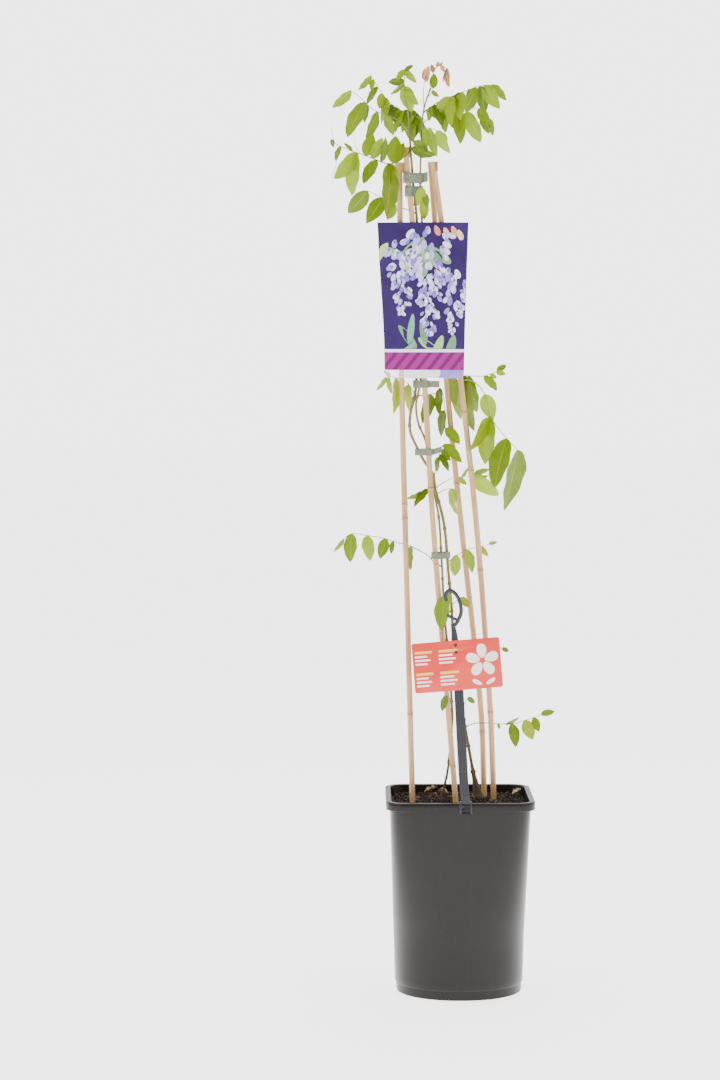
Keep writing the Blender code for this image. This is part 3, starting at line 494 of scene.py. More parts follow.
def cane_path(points):
    """A cane's line from its foot in the soil to its top."""
    low, high = np.array(points[0], float), np.array(points[1], float)
    foot = low + (high - low) * (CANE_FOOT_Z - low[2]) / (high - low)[2]
    return smooth_path([foot, *points], 60)


def on_path(path, z):
    """Where a path of rising points is at a height, with its radius there if it has one."""
    return [float(np.interp(z, path[:, 2], path[:, axis])) for axis in range(path.shape[1]) if axis != 2]


def cane(name, points, nodes):
    """One cane: a tube swollen at its nodes, with a hollow sawn top."""
    path = cane_path(points)
    top = path[-1][2]
    levels = {round(z): 1.0 for z in np.linspace(CANE_FOOT_Z, top, CANE_LEVELS)}
    levels = {z: size for z, size in levels.items() if all(abs(z - node) > NODE_REACH for node in nodes)}
    levels.update({node + up: size for node in nodes for up, size in NODE_OUTLINE})
    levels[float(top)] = 1.0
    rows = [(*on_path(path, z), z, CANE_RADIUS * size) for z, size in sorted(levels.items())]
    made = tube(name, rows, resolution=4)
    bpy.ops.object.mode_set(mode="EDIT")
    bm = bmesh.from_edit_mesh(made.data)
    for face in bm.faces:
        face.select_set(False)
    cap = max(bm.faces, key=lambda face: (round(face.normal.z, 2), face.calc_center_median().z))
    cap.select_set(True)
    bmesh.update_edit_mesh(made.data)
    bpy.ops.mesh.select_mode(type="FACE")
    bpy.ops.mesh.inset(thickness=HOLLOW_WALL * MM)
    bpy.ops.mesh.extrude_region_move(TRANSFORM_OT_translate={"value": (0, 0, -HOLLOW_DEPTH * MM)})
    bpy.ops.mesh.select_mode(type="VERT")
    bpy.ops.object.mode_set(mode="OBJECT")
    ring = made.data.attributes.new("node_ring", "FLOAT", "POINT")
    for vert, value in zip(made.data.vertices, ring.data):
        near = min(abs(vert.co.z / MM - node - RING_MIDDLE) for node in nodes)
        value.value = math.exp(-(near / RING_FADE) ** 2)
    return made


# Seasoned bamboo: a waxy straw skin, silica hard, streaked lengthwise and browned in patches and at each
# node.
bamboo = new_material("seasoned bamboo skin", "D2A87C", 0.42)
where = add(bamboo, "TexCoord", {}, out="Object")
long = add(bamboo, "Mapping", {"Vector": where, "Scale": (1.0, 1.0, 0.03)})
patchy = add(bamboo, "Mapping", {"Vector": where, "Scale": (1.0, 1.0, 0.25)})
streak = add(bamboo, "TexNoise", {"Vector": long, "Scale": grains(1.11), "Detail": 3.0, "Roughness": 0.6})
patch = add(bamboo, "TexNoise", {"Vector": patchy, "Scale": grains(25), "Detail": 4.0, "Roughness": 0.65})
browned = add(bamboo, "MapRange", {"Value": patch, "From Min": 0.45, "From Max": 0.75, "To Max": 0.75})
tint = add(bamboo, "MixRGB", {"Fac": streak, "Color1": linear("B98B58"), "Color2": linear("DEB680")})
tint = add(bamboo, "MixRGB", {"Fac": browned, "Color1": tint, "Color2": linear("9C6C3C")})
ring = add(bamboo, "Attribute", {}, {"attribute_name": "node_ring"}, out="Fac")
faded = add(bamboo, "Math", {0: ring, 1: 0.55}, {"operation": "MULTIPLY"})
tint = add(bamboo, "MixRGB", {"Fac": faded, "Color1": tint, "Color2": linear("8A6242")})
bump = add(bamboo, "Bump", {"Height": streak, "Strength": 0.25, "Distance": 0.0004})
wire(bamboo, Base_Color=tint, Normal=bump)
canes = {}
for name, (points, nodes) in CANES.items():
    canes[name] = cane_path(points)
    finished(cane(name + "_bamboo", points, nodes), bamboo, "bamboo", name, angle=50)

# The two climbing stems. The thick one grows from a woody stump at the soil, and both wind up the front cane
# and past its top. Low down their bark is brown and cracked, and higher up it is green shoot, thinner to the
# tip.
STUMP_TOP_Z = 292
SHOOT_FROM_Z = 560
KNOT_EVERY = 13
KNOT_SWELL = 0.5
KNOT_SHARPNESS = 24
STUMP_LUMPS = 0.16
STUMP_ROUGHNESS, SHOOT_ROUGHNESS = 0.9, 0.1
# Each climbing stem's points (x, y, z) and its radius there, from inside the soil to its tip
STEMS = {
    "stem_main": (
        (31, 12, 150, 6.5), (29, 12, 248, 6.5), (27, 12, 263, 6.4), (24, 11, 279, 5.2), (21, 8, 291, 3.0),
        (17, 3, 313, 2.3), (10, -4, 351, 2.2), (3, -10, 393, 2.2), (-3, -14, 434, 2.1), (-8, -16, 475, 2.1),
        (-10, -17, 510, 2.1), (-12, -16, 539, 2.1), (-15, -15, 571, 2.1), (-19, -15, 621, 2.1),
        (-21, -14, 639, 2.1), (-29, -12, 673, 2.0), (-35, -12, 694, 2.0), (-38, -13, 713, 2.0),
        (-46, -17, 722, 2.0), (-54, -20, 735, 2.0), (-61, -22, 750, 2.0), (-67, -22, 764, 2.0),
        (-68, -20, 780, 2.0), (-66, -17, 798, 2.0), (-61, -15, 815, 2.0), (-59, -14, 830, 2.0),
        (-60, -12, 856, 2.0), (-62, -8, 903, 1.9), (-61, -4, 957, 1.9), (-58, -4, 1011, 1.9),
        (-59, -8, 1058, 1.9), (-63, -10, 1092, 1.8), (-65, -11, 1119, 1.8), (-67, -13, 1143, 1.6),
        (-68, -13, 1159, 1.4), (-69, -12, 1171, 1.3),
    ),
    "stem_second": (
        (-26, -22, 150, 1.8), (-24, -22, 256, 1.8), (-20, -22, 284, 1.8), (-16, -22, 305, 1.7),
        (-12, -25, 346, 1.7), (-10, -26, 377, 1.7), (-12, -26, 415, 1.7), (-15, -25, 456, 1.7),
        (-19, -24, 496, 1.7), (-22, -22, 537, 1.7), (-24, -21, 578, 1.6), (-26, -20, 612, 1.6),
        (-28, -19, 646, 1.6), (-33, -18, 673, 1.6), (-36, -18, 695, 1.6), (-39, -19, 716, 1.6),
        (-43, -19, 735, 1.6), (-47, -20, 754, 1.6), (-54, -20, 771, 1.6), (-60, -20, 789, 1.6),
        (-59, -19, 807, 1.6), (-55, -20, 826, 1.6), (-52, -13, 856, 1.5), (-49, -8, 903, 1.5),
        (-49, -4, 957, 1.5), (-50, -3, 1011, 1.5), (-52, -6, 1058, 1.5), (-54, -9, 1092, 1.5),
        (-54, -10, 1119, 1.4), (-53, -9, 1146, 1.3), (-52, -8, 1177, 1.2), (-50, -9, 1197, 1.1),
        (-46, -12, 1213, 1.1), (-40, -14, 1229, 1.0),
    ),
}


def stem_rows(points):
    """The rows (x, y, z, radius) that a stem follows, from those given for it."""
    return smooth_path(points, round(len(points) * 1.3))


def stem(name, points):
    """A stem: a fine tube, swollen where leaves once sprang, and knobbly at the stump."""
    rows = smooth_path(stem_rows(points), len(points) * 10)
    for index, row in enumerate(rows):
        knot = max(0.0, math.cos(index * math.tau / KNOT_EVERY)) ** KNOT_SHARPNESS
        row[3] *= 1 + KNOT_SWELL * knot
        if row[2] < STUMP_TOP_Z:
            row[3] *= 1 + STUMP_LUMPS * noise.noise(Vector((0, 0, row[2] / 7)))
    made = tube(name, rows, resolution=3)
    for vert in made.data.vertices:
        x, y, z = np.array(vert.co) / MM
        depth = STUMP_ROUGHNESS if z < STUMP_TOP_Z and name == "stem_main_bark" else SHOOT_ROUGHNESS
        vert.co += vert.normal * rough((x, y, z * 0.5), GRIT, depth) * MM
    return made


# Young wisteria bark: grey brown and finely cracked on old wood, olive green and smooth on this year's shoot.
bark = new_material("young wisteria bark", "6B5A3C", 0.75)
where = add(bark, "TexCoord", {}, out="Object")
height = add(bark, "SeparateXYZ", {"Vector": where}, out="Z")
long = add(bark, "Mapping", {"Vector": where, "Scale": (1.0, 1.0, 0.3)})
crack = add(bark, "TexNoise", {"Vector": long, "Scale": grains(1.43), "Detail": 4.0, "Roughness": 0.7})
patch = add(bark, "TexNoise", {"Vector": where, "Scale": grains(16.67), "Detail": 3.0})
shoot = add(bark, "MapRange", {"Value": height, "From Min": STUMP_TOP_Z * MM, "From Max": SHOOT_FROM_Z * MM})
wood = add(bark, "MixRGB", {"Fac": crack, "Color1": linear("3C2C1C"), "Color2": linear("6A5438")})
green = add(bark, "MixRGB", {"Fac": patch, "Color1": linear("5A4A26"), "Color2": linear("8C8440")})
tint = add(bark, "MixRGB", {"Fac": shoot, "Color1": wood, "Color2": green})
bump = add(bark, "Bump", {"Height": crack, "Strength": 0.5, "Distance": 0.0006})
wire(bark, Base_Color=tint, Normal=bump)
for name, points in STEMS.items():
    finished(stem(name + "_bark", points), bark, "bark", name, angle=60)
stems = {name: stem_rows(points) for name, points in STEMS.items()}

# The ties: soft grey-green tie tape, each a band pulled round the front cane and both stems. Three of them
# have a short free end where it was torn off. The tape is 9 to 14 mm wide and 1.1 mm thick, and a little
# crinkled.
TIE_WALL = 1.1
TIE_SLACK = 0.6
TIE_EDGE = 0.3
TIE_SIDES = 72
CRINKLE = 0.22
WOBBLE = 0.3
# How far a free end hangs forward, how far it curls, and how far it starts inside the band and behind its
# front
END_DROP = 2
END_CURL = 1.2
END_OVERLAP = 1
END_SET = 0.6
# Each tie: its middle height, its band's height, and its free end's length and rise
TIES = {
    "tie_top": (1108, 14, 7, 2),
    "tie_top_lower": (1090, 14, 0, 0),
    "tie_below_label": (830, 10, 14, 0),
    "tie_middle": (738, 9, 12, 4),
    "tie_low": (598, 9, 0, 0),
}


def stripes(pitch):
    """The scale of a wave pattern with stripes this far apart in mm. Its node turns 20 radians a unit."""
    return math.tau / 20 / (pitch * MM)


def band_point(circles, angle, reach):
    """The point of a band pulled round some circles (x, y, radius) that faces an angle."""
    way = (math.cos(angle), math.sin(angle))
    x, y, radius = max(circles, key=lambda circle: circle[0] * way[0] + circle[1] * way[1] + circle[2])
    return x + way[0] * (radius + reach), y + way[1] * (radius + reach)


def joined(name, pieces):
    """The pieces as one object."""
    choose(*pieces)
    bpy.ops.object.join()
    pieces[0].name = name
    return pieces[0]


def tie_band(name, circles, middle, height):
    """A band pulled round some circles, with rounded edges, crinkled on its outer face."""
    inner, outer, half = TIE_SLACK, TIE_SLACK + TIE_WALL, height / 2
    inner_edge, outer_edge, half_edge = inner + TIE_EDGE, outer - TIE_EDGE, half - TIE_EDGE
    profile = ((inner, -half_edge), (inner_edge, -half), (outer_edge, -half), (outer, -half_edge),
               (outer, -half / 3), (outer, half / 3), (outer, half_edge), (outer_edge, half),
               (inner_edge, half), (inner, half_edge), (inner, -half_edge))
    rings = []
    for reach, up in profile:
        ring = []
        for step in range(TIE_SIDES):
            angle = step * math.tau / TIE_SIDES
            if reach > inner_edge:
                crinkle = CRINKLE * math.sin(angle * 9 + middle) * math.cos(up + angle * 4)
            else:
                crinkle = 0
            x, y = band_point(circles, angle, reach + crinkle)
            ring.append(Vector((x, y, middle + up + WOBBLE * math.sin(angle * 3 + middle))) * MM)
        rings.append(ring)
    return extruded(name, rings, closed=True)


def tie(name, middle, height, tail, rise):
    """A band round the front cane and both stems, and its free end."""
    circles = []
    for path in (canes["cane_front"], stems["stem_main"], stems["stem_second"]):
        for z in (middle - height / 2, middle, middle + height / 2):
            x, y, *radius = on_path(path, z)
            circles.append((x, y, radius[0] if radius else CANE_RADIUS))
    band = tie_band(name, circles, middle, height)
    if not tail:
        return band
    x, y = band_point(circles, 0, TIE_SLACK + TIE_WALL)
    long = tail + END_OVERLAP
    deselect()
    bpy.ops.mesh.primitive_cube_add(size=1)
    end = bpy.context.object
    bpy.ops.object.mode_set(mode="EDIT")
    bpy.ops.transform.resize(value=(long * MM, TIE_WALL * MM, (height - 1) * MM))
    bpy.ops.mesh.subdivide(number_cuts=5)
    bpy.ops.object.mode_set(mode="OBJECT")
    for vert in end.data.vertices:
        out = vert.co.x / MM / long + 0.5
        forward = END_SET + out * END_DROP + END_CURL * math.sin(out * 3.0)
        vert.co += Vector((x - END_OVERLAP + long / 2, y - forward, middle + out * rise)) * MM
    return joined(name, [band, end])


# Soft tie tape: matt polythene in a dull grey green, with fine ribs along it and a paler bloom in places.
RIB_PITCH = 0.98
tape = new_material("soft polythene tie tape", "67705A", 0.6)
where = add(tape, "TexCoord", {}, out="Object")
bloom = add(tape, "TexNoise", {"Vector": where, "Scale": grains(4.55), "Detail": 3.0})
tint = add(tape, "MixRGB", {"Fac": bloom, "Color1": linear("4A5340"), "Color2": linear("838C72")})
ribs = add(tape, "TexWave", {"Vector": where, "Scale": stripes(RIB_PITCH)}, {"bands_direction": "Z"})
bump = add(tape, "Bump", {"Height": ribs, "Strength": 0.3, "Distance": 0.0004})
wire(tape, Base_Color=tint, Normal=bump)
for name, spec in TIES.items():
    finished(tie(name + "_tape", *spec), tape, "tie", name, angle=45)

# The strap: one moulding of slate grey polypropylene. Its foot is a clip bent over the pot's rim, its stem
# tapers up the front of the canes, two pegs on it carry the card, and its top is a round hook with a bar
# across its foot.
STRAP_THICK = 2.0
STRAP_LEAN = 0.104
STRAP_EDGE = 0.5
# The clip's width, the height of its foot, how far up the pot's body that is, and the outline of its two
# bends
CLIP_WIDTH = 17.0
CLIP_FOOT_Z = 259.5
CLIP_FOOT_UP = 0.959
BEND, BEND_MIDDLE = 2.2, 0.6
HOOK_FULLNESS = 1.25
# The strap's points (x, y, z) and its width, from under the pot's lip to the foot of its hook
STRAP = (
    (6, -101.9, 256.6, 12.5), (6, -101.9, 272, 12.5), (3, -98.7, 302, 12.5), (-3, -86.8, 417, 12.5),
    (-8, -79.7, 485, 9.0), (-11, -77.2, 509, 5.5),
)
HOOK = (
    (-11, -77.4, 505), (-5, -77.4, 512), (0, -77.4, 525), (-2, -77.4, 539), (-7, -77.4, 549),
    (-14, -77.4, 554), (-19, -77.4, 552), (-21, -77.4, 546), (-20, -77.4, 540),
)
HOOK_BAR = ((-19, -77.4, 521), (-11, -77.4, 517), (-4, -77.4, 514))
HOOK_RADIUS = 2.1
# Where the pegs are (x, z), and how thick and long they are and how far in front of the strap's middle
PEGS = ((-7.4, 481.1), (-6.9, 471.8))
PEG_RADIUS, PEG_LENGTH, PEG_SET = 1.5, 4, 1.6
PEG_EDGE = 0.4


def strap_bar(name, rows):
    """A flat bar as thick as the strap, with bevelled edges, along rows of (x, y, z, width)."""
    path = np.array(rows, float)
    rings = []
    for index, (x, y, z, width) in enumerate(path):
        before, after = path[max(0, index - 1)], path[min(len(path) - 1, index + 1)]
        way = Vector((0, after[1] - before[1], after[2] - before[2])).normalized()
        out = Vector((0, -way.z, way.y))
        half, deep = width / 2, STRAP_THICK / 2
        near, low = half - STRAP_EDGE, deep - STRAP_EDGE
        around = ((half, low), (near, deep), (-near, deep), (-half, low),
                  (-half, -low), (-near, -deep), (near, -deep), (half, -low))
        rings.append([(Vector((x + side, y, z)) + out * up) * MM for side, up in around])
    return extruded(name, rings)


def strap_front(z):
    """How far forward the strap's middle is at a height."""
    heights = [row[2] for row in STRAP[1:]]
    return float(np.interp(z, heights, [row[1] for row in STRAP[1:]]))


def at_peg(x, z, radius, length, sides):
    """A cylinder where a peg is, square to the strap's face."""
    deselect()
    bpy.ops.mesh.primitive_cylinder_add(vertices=sides, radius=radius * MM, depth=length * MM,
                                        rotation=(math.pi / 2 - math.atan(STRAP_LEAN), 0, 0),
                                        location=(x * MM, (strap_front(z) - PEG_SET) * MM, z * MM))
    return bpy.context.object


# The smooth curve would bulge past the strap's foremost points, so it is held back to them.
strap_rows = [(x, max(y, STRAP[0][1]), z, width) for x, y, z, width in smooth_path(STRAP, 40)]
stem_bar = strap_bar("strap_bar", strap_rows)
x, front = STRAP[1][:2]
inner = STRAP_THICK / 2 + GAP - (BODY_HALF_LOW + (BODY_HALF_TOP - BODY_HALF_LOW) * CLIP_FOOT_UP - WALL)
top = POT_HEIGHT + STRAP_THICK / 2 + GAP
over = ((inner, CLIP_FOOT_Z), (inner, top - BEND), (inner - BEND_MIDDLE, top - BEND_MIDDLE),
        (inner - BEND, top), (front + BEND, top), (front + 0.4, top - 0.4), (front, top - 1.5),
        (front, CLIP_FOOT_Z - 3))
clip = strap_bar("strap_clip", [(x, y, z, CLIP_WIDTH) for y, z in over])
hook = tube("hook", [(*point, HOOK_RADIUS * HOOK_FULLNESS) for point in smooth_path(HOOK, 60)], resolution=5)
bar = tube("hook_bar", [(*point, HOOK_RADIUS) for point in smooth_path(HOOK_BAR, 12)], resolution=5)
pegs = []
for x, z in PEGS:
    peg = at_peg(x, z, PEG_RADIUS, PEG_LENGTH, 24)
    bpy.ops.object.transform_apply(location=True, rotation=True)
    pegs.append(modified(peg, "BEVEL", width=PEG_EDGE * MM, segments=3))
strap = joined("hook_strap", [stem_bar, clip, hook, bar, *pegs])

# Slate grey polypropylene: smooth moulded and satin, a little cloudy, with fine lines along the way it was
# drawn.
slate = new_material("slate grey polypropylene", "302F34", 0.4, Specular_IOR_Level=0.3)
where = add(slate, "TexCoord", {}, out="Object")
long = add(slate, "Mapping", {"Vector": where, "Scale": (1.0, 1.0, 0.15)})
draw = add(slate, "TexNoise", {"Vector": long, "Scale": grains(2), "Detail": 2.0})
cloudy = add(slate, "TexNoise", {"Vector": where, "Scale": grains(33.3), "Detail": 3.0})
tint = add(slate, "MixRGB", {"Fac": cloudy, "Color1": linear("29282C"), "Color2": linear("3A393F")})
bump = add(slate, "Bump", {"Height": draw, "Strength": 0.1, "Distance": 0.0004})
wire(slate, Base_Color=tint, Normal=bump)
finished(strap, slate, "strap", "strap", angle=40)

# The care card: a sheet of red polypropylene 118 x 67 mm, hung by two punched holes on the strap's pegs. It
# is printed in yellow and white with plain bars and a simple flower.
CARD_WIDTH, CARD_HEIGHT, CARD_THICK = 118, 67, 0.9
CARD_TURN = math.radians(4.6)
CARD_CORNER = 3
CARD_EDGE = 0.15
CARD_CENTRE = (-5.3, -84.6, 454.1)
HOLE_CLEARANCE = 0.5
card_place = (
    Matrix.Translation(Vector(CARD_CENTRE) * MM)
    @ Matrix.Rotation(-math.atan(STRAP_LEAN), 4, "X")
    @ Matrix.Rotation(-CARD_TURN, 4, "Y")
)
deselect()
bpy.ops.mesh.primitive_cube_add(size=1)
card = bpy.context.object
card.name = "red_care_card"
bpy.ops.object.mode_set(mode="EDIT")
bpy.ops.transform.resize(value=(CARD_WIDTH * MM, CARD_THICK * MM, CARD_HEIGHT * MM))
bm = bmesh.from_edit_mesh(card.data)
for face in bm.faces:
    face.select_set(False)
for edge in bm.edges:
    edge.select_set(abs(edge.verts[0].co.y - edge.verts[1].co.y) > CARD_THICK * MM / 2)
bmesh.update_edit_mesh(card.data)
bpy.ops.mesh.bevel(offset=CARD_CORNER * MM, segments=8)
bpy.ops.object.mode_set(mode="OBJECT")
card.data.transform(card_place)
for x, z in PEGS:
    drilled(card, at_peg(x, z, PEG_RADIUS + HOLE_CLEARANCE, 3 * PEG_LENGTH, 32))
modified(card, "BEVEL", width=CARD_EDGE * MM, segments=2, limit_method="ANGLE", angle_limit=math.radians(60))

# Printed polypropylene sheet: coral red, smooth and satin, with the fine grain of its varnish.
red = new_material("printed polypropylene sheet", "E23E30", 0.42, Specular_IOR_Level=0.3)
where = add(red, "TexCoord", {}, out="Object")
cloudy = add(red, "TexNoise", {"Vector": where, "Scale": grains(40), "Detail": 2.0})
varnish = add(red, "TexNoise", {"Vector": where, "Scale": grains(0.833)})
tint = add(red, "MixRGB", {"Fac": cloudy, "Color1": linear("DC3628"), "Color2": linear("EA5044")})
bump = add(red, "Bump", {"Height": varnish, "Strength": 0.05, "Distance": 0.0003})
wire(red, Base_Color=tint, Normal=bump)
finished(card, red, "card", "care_card", angle=35)

# The card's print, in millimetres from its middle. Each column of bars: its left and right. Each block: its
# height.
COLUMNS = ((-56, -32), (-24, 2))
BLOCKS = (20.5, -8.5)
HEADING_HEIGHT, LINE_HEIGHT = 3.4, 2.4
LINES, LINE_PITCH, LINE_DROP, LINE_SHORTER, LINE_RAGGED = 3, 5.0, 5.6, 7, 4
# A bar's rounded end: its points, and how far it turns to either side
BAR_END_POINTS, BAR_END_TURN = 6, 1.57
# The flower: its middle, its petals and how far they start from it, and their length and width, then its
# leaves
FLOWER = (34, 4)
FLOWER_PETALS, FLOWER_EYE, FLOWER_PETAL = 5, 3.5, (19, 14)
FLOWER_LEAVES = (((31, -28), 150), ((37, -28), 30))
FLOWER_LEAF = (14, 6)
PETAL_POINTS = 16
# How far the ink's face stands off the card's, and the share of that which the ink fills
INK, INK_FILL = 0.12, 0.9


def printed(name, colour, outlines):
    """A screen-printed ink: thin plates with these outlines, each of points (across, up) on the card."""
    plates = []
    for outline in outlines:
        deselect()
        bpy.ops.mesh.primitive_circle_add(vertices=len(outline), fill_type="NGON")
        plate = bpy.context.object
        for vert, (across, up) in zip(plate.data.vertices, outline):
            vert.co = Vector((across, -CARD_THICK / 2 - INK, up)) * MM
        bpy.ops.object.mode_set(mode="EDIT")
        bpy.ops.mesh.select_all(action="SELECT")
        bpy.ops.mesh.extrude_region_move(TRANSFORM_OT_translate={"value": (0, INK * INK_FILL * MM, 0)})
        seal()
        plate.data.transform(card_place)
        plates.append(plate)
    ink = new_material(name.replace("_", " "), colour, 0.45)
    where = add(ink, "TexCoord", {}, out="Object")
    film = add(ink, "TexNoise", {"Vector": where, "Scale": grains(2.5), "Detail": 2.0})
    thinner = add(ink, "MixRGB", {"Fac": film, "Color1": linear(colour), "Color2": linear("FFFFFF")})
    tint = add(ink, "MixRGB", {"Fac": 0.12, "Color1": linear(colour), "Color2": thinner})
    wire(ink, Base_Color=tint)
    finished(joined(name, plates), ink, "card", angle=30)


def bar_outline(left, right, middle, height):
    """A printed bar with rounded ends."""
    half = height / 2
    turns = np.linspace(-BAR_END_TURN, BAR_END_TURN, BAR_END_POINTS)
    right_end = [(right - half + half * math.cos(turn), middle + half * math.sin(turn)) for turn in turns]
    left_end = [(left + half - half * math.cos(turn), middle - half * math.sin(turn)) for turn in turns]
    return right_end + left_end


def petal_outline(centre, angle, length, width):
    """A petal or leaf from a centre out along an angle."""
    way, side = (math.cos(angle), math.sin(angle)), (-math.sin(angle), math.cos(angle))
    outline = []
    for step in range(PETAL_POINTS):
        turn = step * math.tau / PETAL_POINTS
        along = length * (0.5 - 0.5 * math.cos(turn))
        wide = width / 2 * math.sin(turn) * (0.75 + 0.35 * along / length)
        across = centre[0] + way[0] * along - side[0] * wide
        outline.append((across, centre[1] + way[1] * along - side[1] * wide))
    return outline


headings, lines = [], []
for left, right in COLUMNS:
    for up in BLOCKS:
        headings.append(bar_outline(left, right, up, HEADING_HEIGHT))
        for row in range(LINES):
            end = right - LINE_SHORTER + LINE_RAGGED * (row % 2)
            lines.append(bar_outline(left, end, up - LINE_DROP - row * LINE_PITCH, LINE_HEIGHT))
printed("yellow_screen_ink", "FFC818", headings)
printed("white_line_ink", "FFF4EE", lines)
petals = []
for step in range(FLOWER_PETALS):
    angle = math.radians(90 + step * 360 / FLOWER_PETALS)
    root = (FLOWER[0] + FLOWER_EYE * math.cos(angle), FLOWER[1] + FLOWER_EYE * math.sin(angle))
    petals.append(petal_outline(root, angle, *FLOWER_PETAL))
for root, heading in FLOWER_LEAVES:
    petals.append(petal_outline(root, math.radians(heading), *FLOWER_LEAF))
printed("white_flower_ink", "FFF8F4", petals)

# The picture label: a thin, slightly bowed sheet of clear polypropylene, printed all over but for a window at
# its lower left. It rests on the front cane. Its picture is flower clusters and leaves on dark violet, over a
# band.
LABEL_BOW = 5.0
LABEL_THICK = 0.9
LABEL_COLUMNS = 24
LABEL_ROW_PITCH = 6
LABEL_FOOT_Z, LABEL_TOP_Z = 838, 1048
# How far up the label the strip, the band and the white rule over the band end
STRIP_TOP = 11
BAND_TOP = 35
RULE_TOP = 39
# How far across the label its clear window ends and its lavender patch starts
WINDOW_SIDE = 0.24
PATCH_SIDE = 0.7
# The height of each row of the label and where its left and right edges are
LABEL_ROWS = (
    (838, -101, 1), (840, -102, 4), (844, -102, 5), (890, -103, 6), (930, -105, 7), (990, -109, 9),
    (1048, -112, 11),
)


def label_point(across, up, lift=0.0):
    """A point of the label in metres: across from 0 to 1, up in mm from its foot, lifted off its middle."""
    z = LABEL_FOOT_Z + up
    heights = [row[0] for row in LABEL_ROWS]
    left, right = (float(np.interp(z, heights, [row[side] for row in LABEL_ROWS])) for side in (1, 2))
    _, y = on_path(canes["cane_front"], z)
    back = y - CANE_RADIUS * NODE_SWELL - GAP
    bow = LABEL_BOW * (2 * across - 1) ** 2
    return Vector((left + (right - left) * across, back - LABEL_THICK / 2 + bow - lift, z)) * MM


def label_sheet(name, sides, levels, material, *nodes):
    """A patch of the label between two sides and two levels, bowed with it."""
    deselect()
    rows = max(2, round((levels[1] - levels[0]) / LABEL_ROW_PITCH))
    bpy.ops.mesh.primitive_grid_add(x_subdivisions=LABEL_COLUMNS, y_subdivisions=rows, size=2)
    sheet = bpy.context.object
    sheet.name = name
    for vert in sheet.data.vertices:
        across = sides[0] + (sides[1] - sides[0]) * (vert.co.x + 1) / 2
        up = levels[0] + (levels[1] - levels[0]) * (vert.co.y + 1) / 2
        vert.co = label_point(across, up)
    modified(sheet, "SOLIDIFY", thickness=LABEL_THICK * MM, offset=0)
    finished(sheet, material, "label", *nodes, angle=50)


def label_ink(name, base, low, high):
    """An opaque, glossy label ink, faintly uneven."""
    made = new_material(name, base, 0.3)
    where = add(made, "TexCoord", {}, out="Object")
    film = add(made, "TexNoise", {"Vector": where, "Scale": grains(5)})
    wire(made, Base_Color=add(made, "MixRGB", {"Fac": film, "Color1": linear(low), "Color2": linear(high)}))
    return made


# Clear polypropylene: a glossy, almost colourless sheet that the cane shows through.
clear = new_material("clear polypropylene sheet", "FFFFFF", 0.12, Alpha=0.22)
where = add(clear, "TexCoord", {}, out="Object")
haze = add(clear, "TexNoise", {"Vector": where, "Scale": grains(11.1)})
wire(clear, Roughness=add(clear, "MapRange", {"Value": haze, "To Min": 0.08, "To Max": 0.25}))

# Offset-printed polypropylene: deep violet under a gloss varnish, deeper in places as a picture's ground is.
violet = new_material("offset printed polypropylene", "33245E", 0.36, Specular_IOR_Level=0.25)
where = add(violet, "TexCoord", {}, out="Object")
cloud = add(violet, "TexNoise", {"Vector": where, "Scale": grains(35.7), "Detail": 3.0})
tint = add(violet, "MixRGB", {"Fac": cloud, "Color1": linear("140C34"), "Color2": linear("3E2468")})
wire(violet, Base_Color=tint)
label_sheet("picture_label_print", (0, 1), (RULE_TOP, LABEL_TOP_Z - LABEL_FOOT_Z), violet, "picture_label")

# Printed band: magenta ink under varnish, with broad darker stripes slanted across it.
STRIPE_PITCH = 12.08
STRIPE_SLANT = 0.9
magenta = new_material("magenta label ink", "801C6C", 0.36, Specular_IOR_Level=0.25)
where = add(magenta, "TexCoord", {}, out="Object")
turned = add(magenta, "Mapping", {"Vector": where, "Rotation": (0, STRIPE_SLANT, 0)})
wave = add(magenta, "TexWave", {"Vector": turned, "Scale": stripes(STRIPE_PITCH)}, {"bands_direction": "Z"})
stripe = add(magenta, "MapRange", {"Value": wave, "From Min": 0.55, "From Max": 0.75})
tint = add(magenta, "MixRGB", {"Fac": stripe, "Color1": linear("92207A"), "Color2": linear("6E1260")})
wire(magenta, Base_Color=tint)
label_sheet("magenta_label_band", (0, 1), (STRIP_TOP, BAND_TOP), magenta)

# White label ink and lavender label ink: both opaque and glossy, and the lavender pale.
white = label_ink("white label ink", "F3F3F8", "ECEBF4", "FAFAFC")
lavender = label_ink("lavender label ink", "A9A0DC", "7F74C4", "988CD8")
label_sheet("white_label_rule", (0, 1), (BAND_TOP, RULE_TOP), white)
label_sheet("white_label_strip", (WINDOW_SIDE, PATCH_SIDE), (0, STRIP_TOP), white)
label_sheet("lavender_label_patch", (PATCH_SIDE, 1), (0, STRIP_TOP), lavender)
label_sheet("clear_label_window", (0, WINDOW_SIDE), (0, STRIP_TOP), clear)

# The picture's motifs: petals, buds and leaves in several inks, each a flat shape that follows the sheet.
# Each printed layer stands a little proud of the one under it. Sizes are in millimetres across and up the
# label.
PICTURE_WIDTH = 117.0
PICTURE_MARGIN = 0.6
FIRST_LAYER, LAYER_RISE = 0.05, 0.012
INK_FILM = 0.04
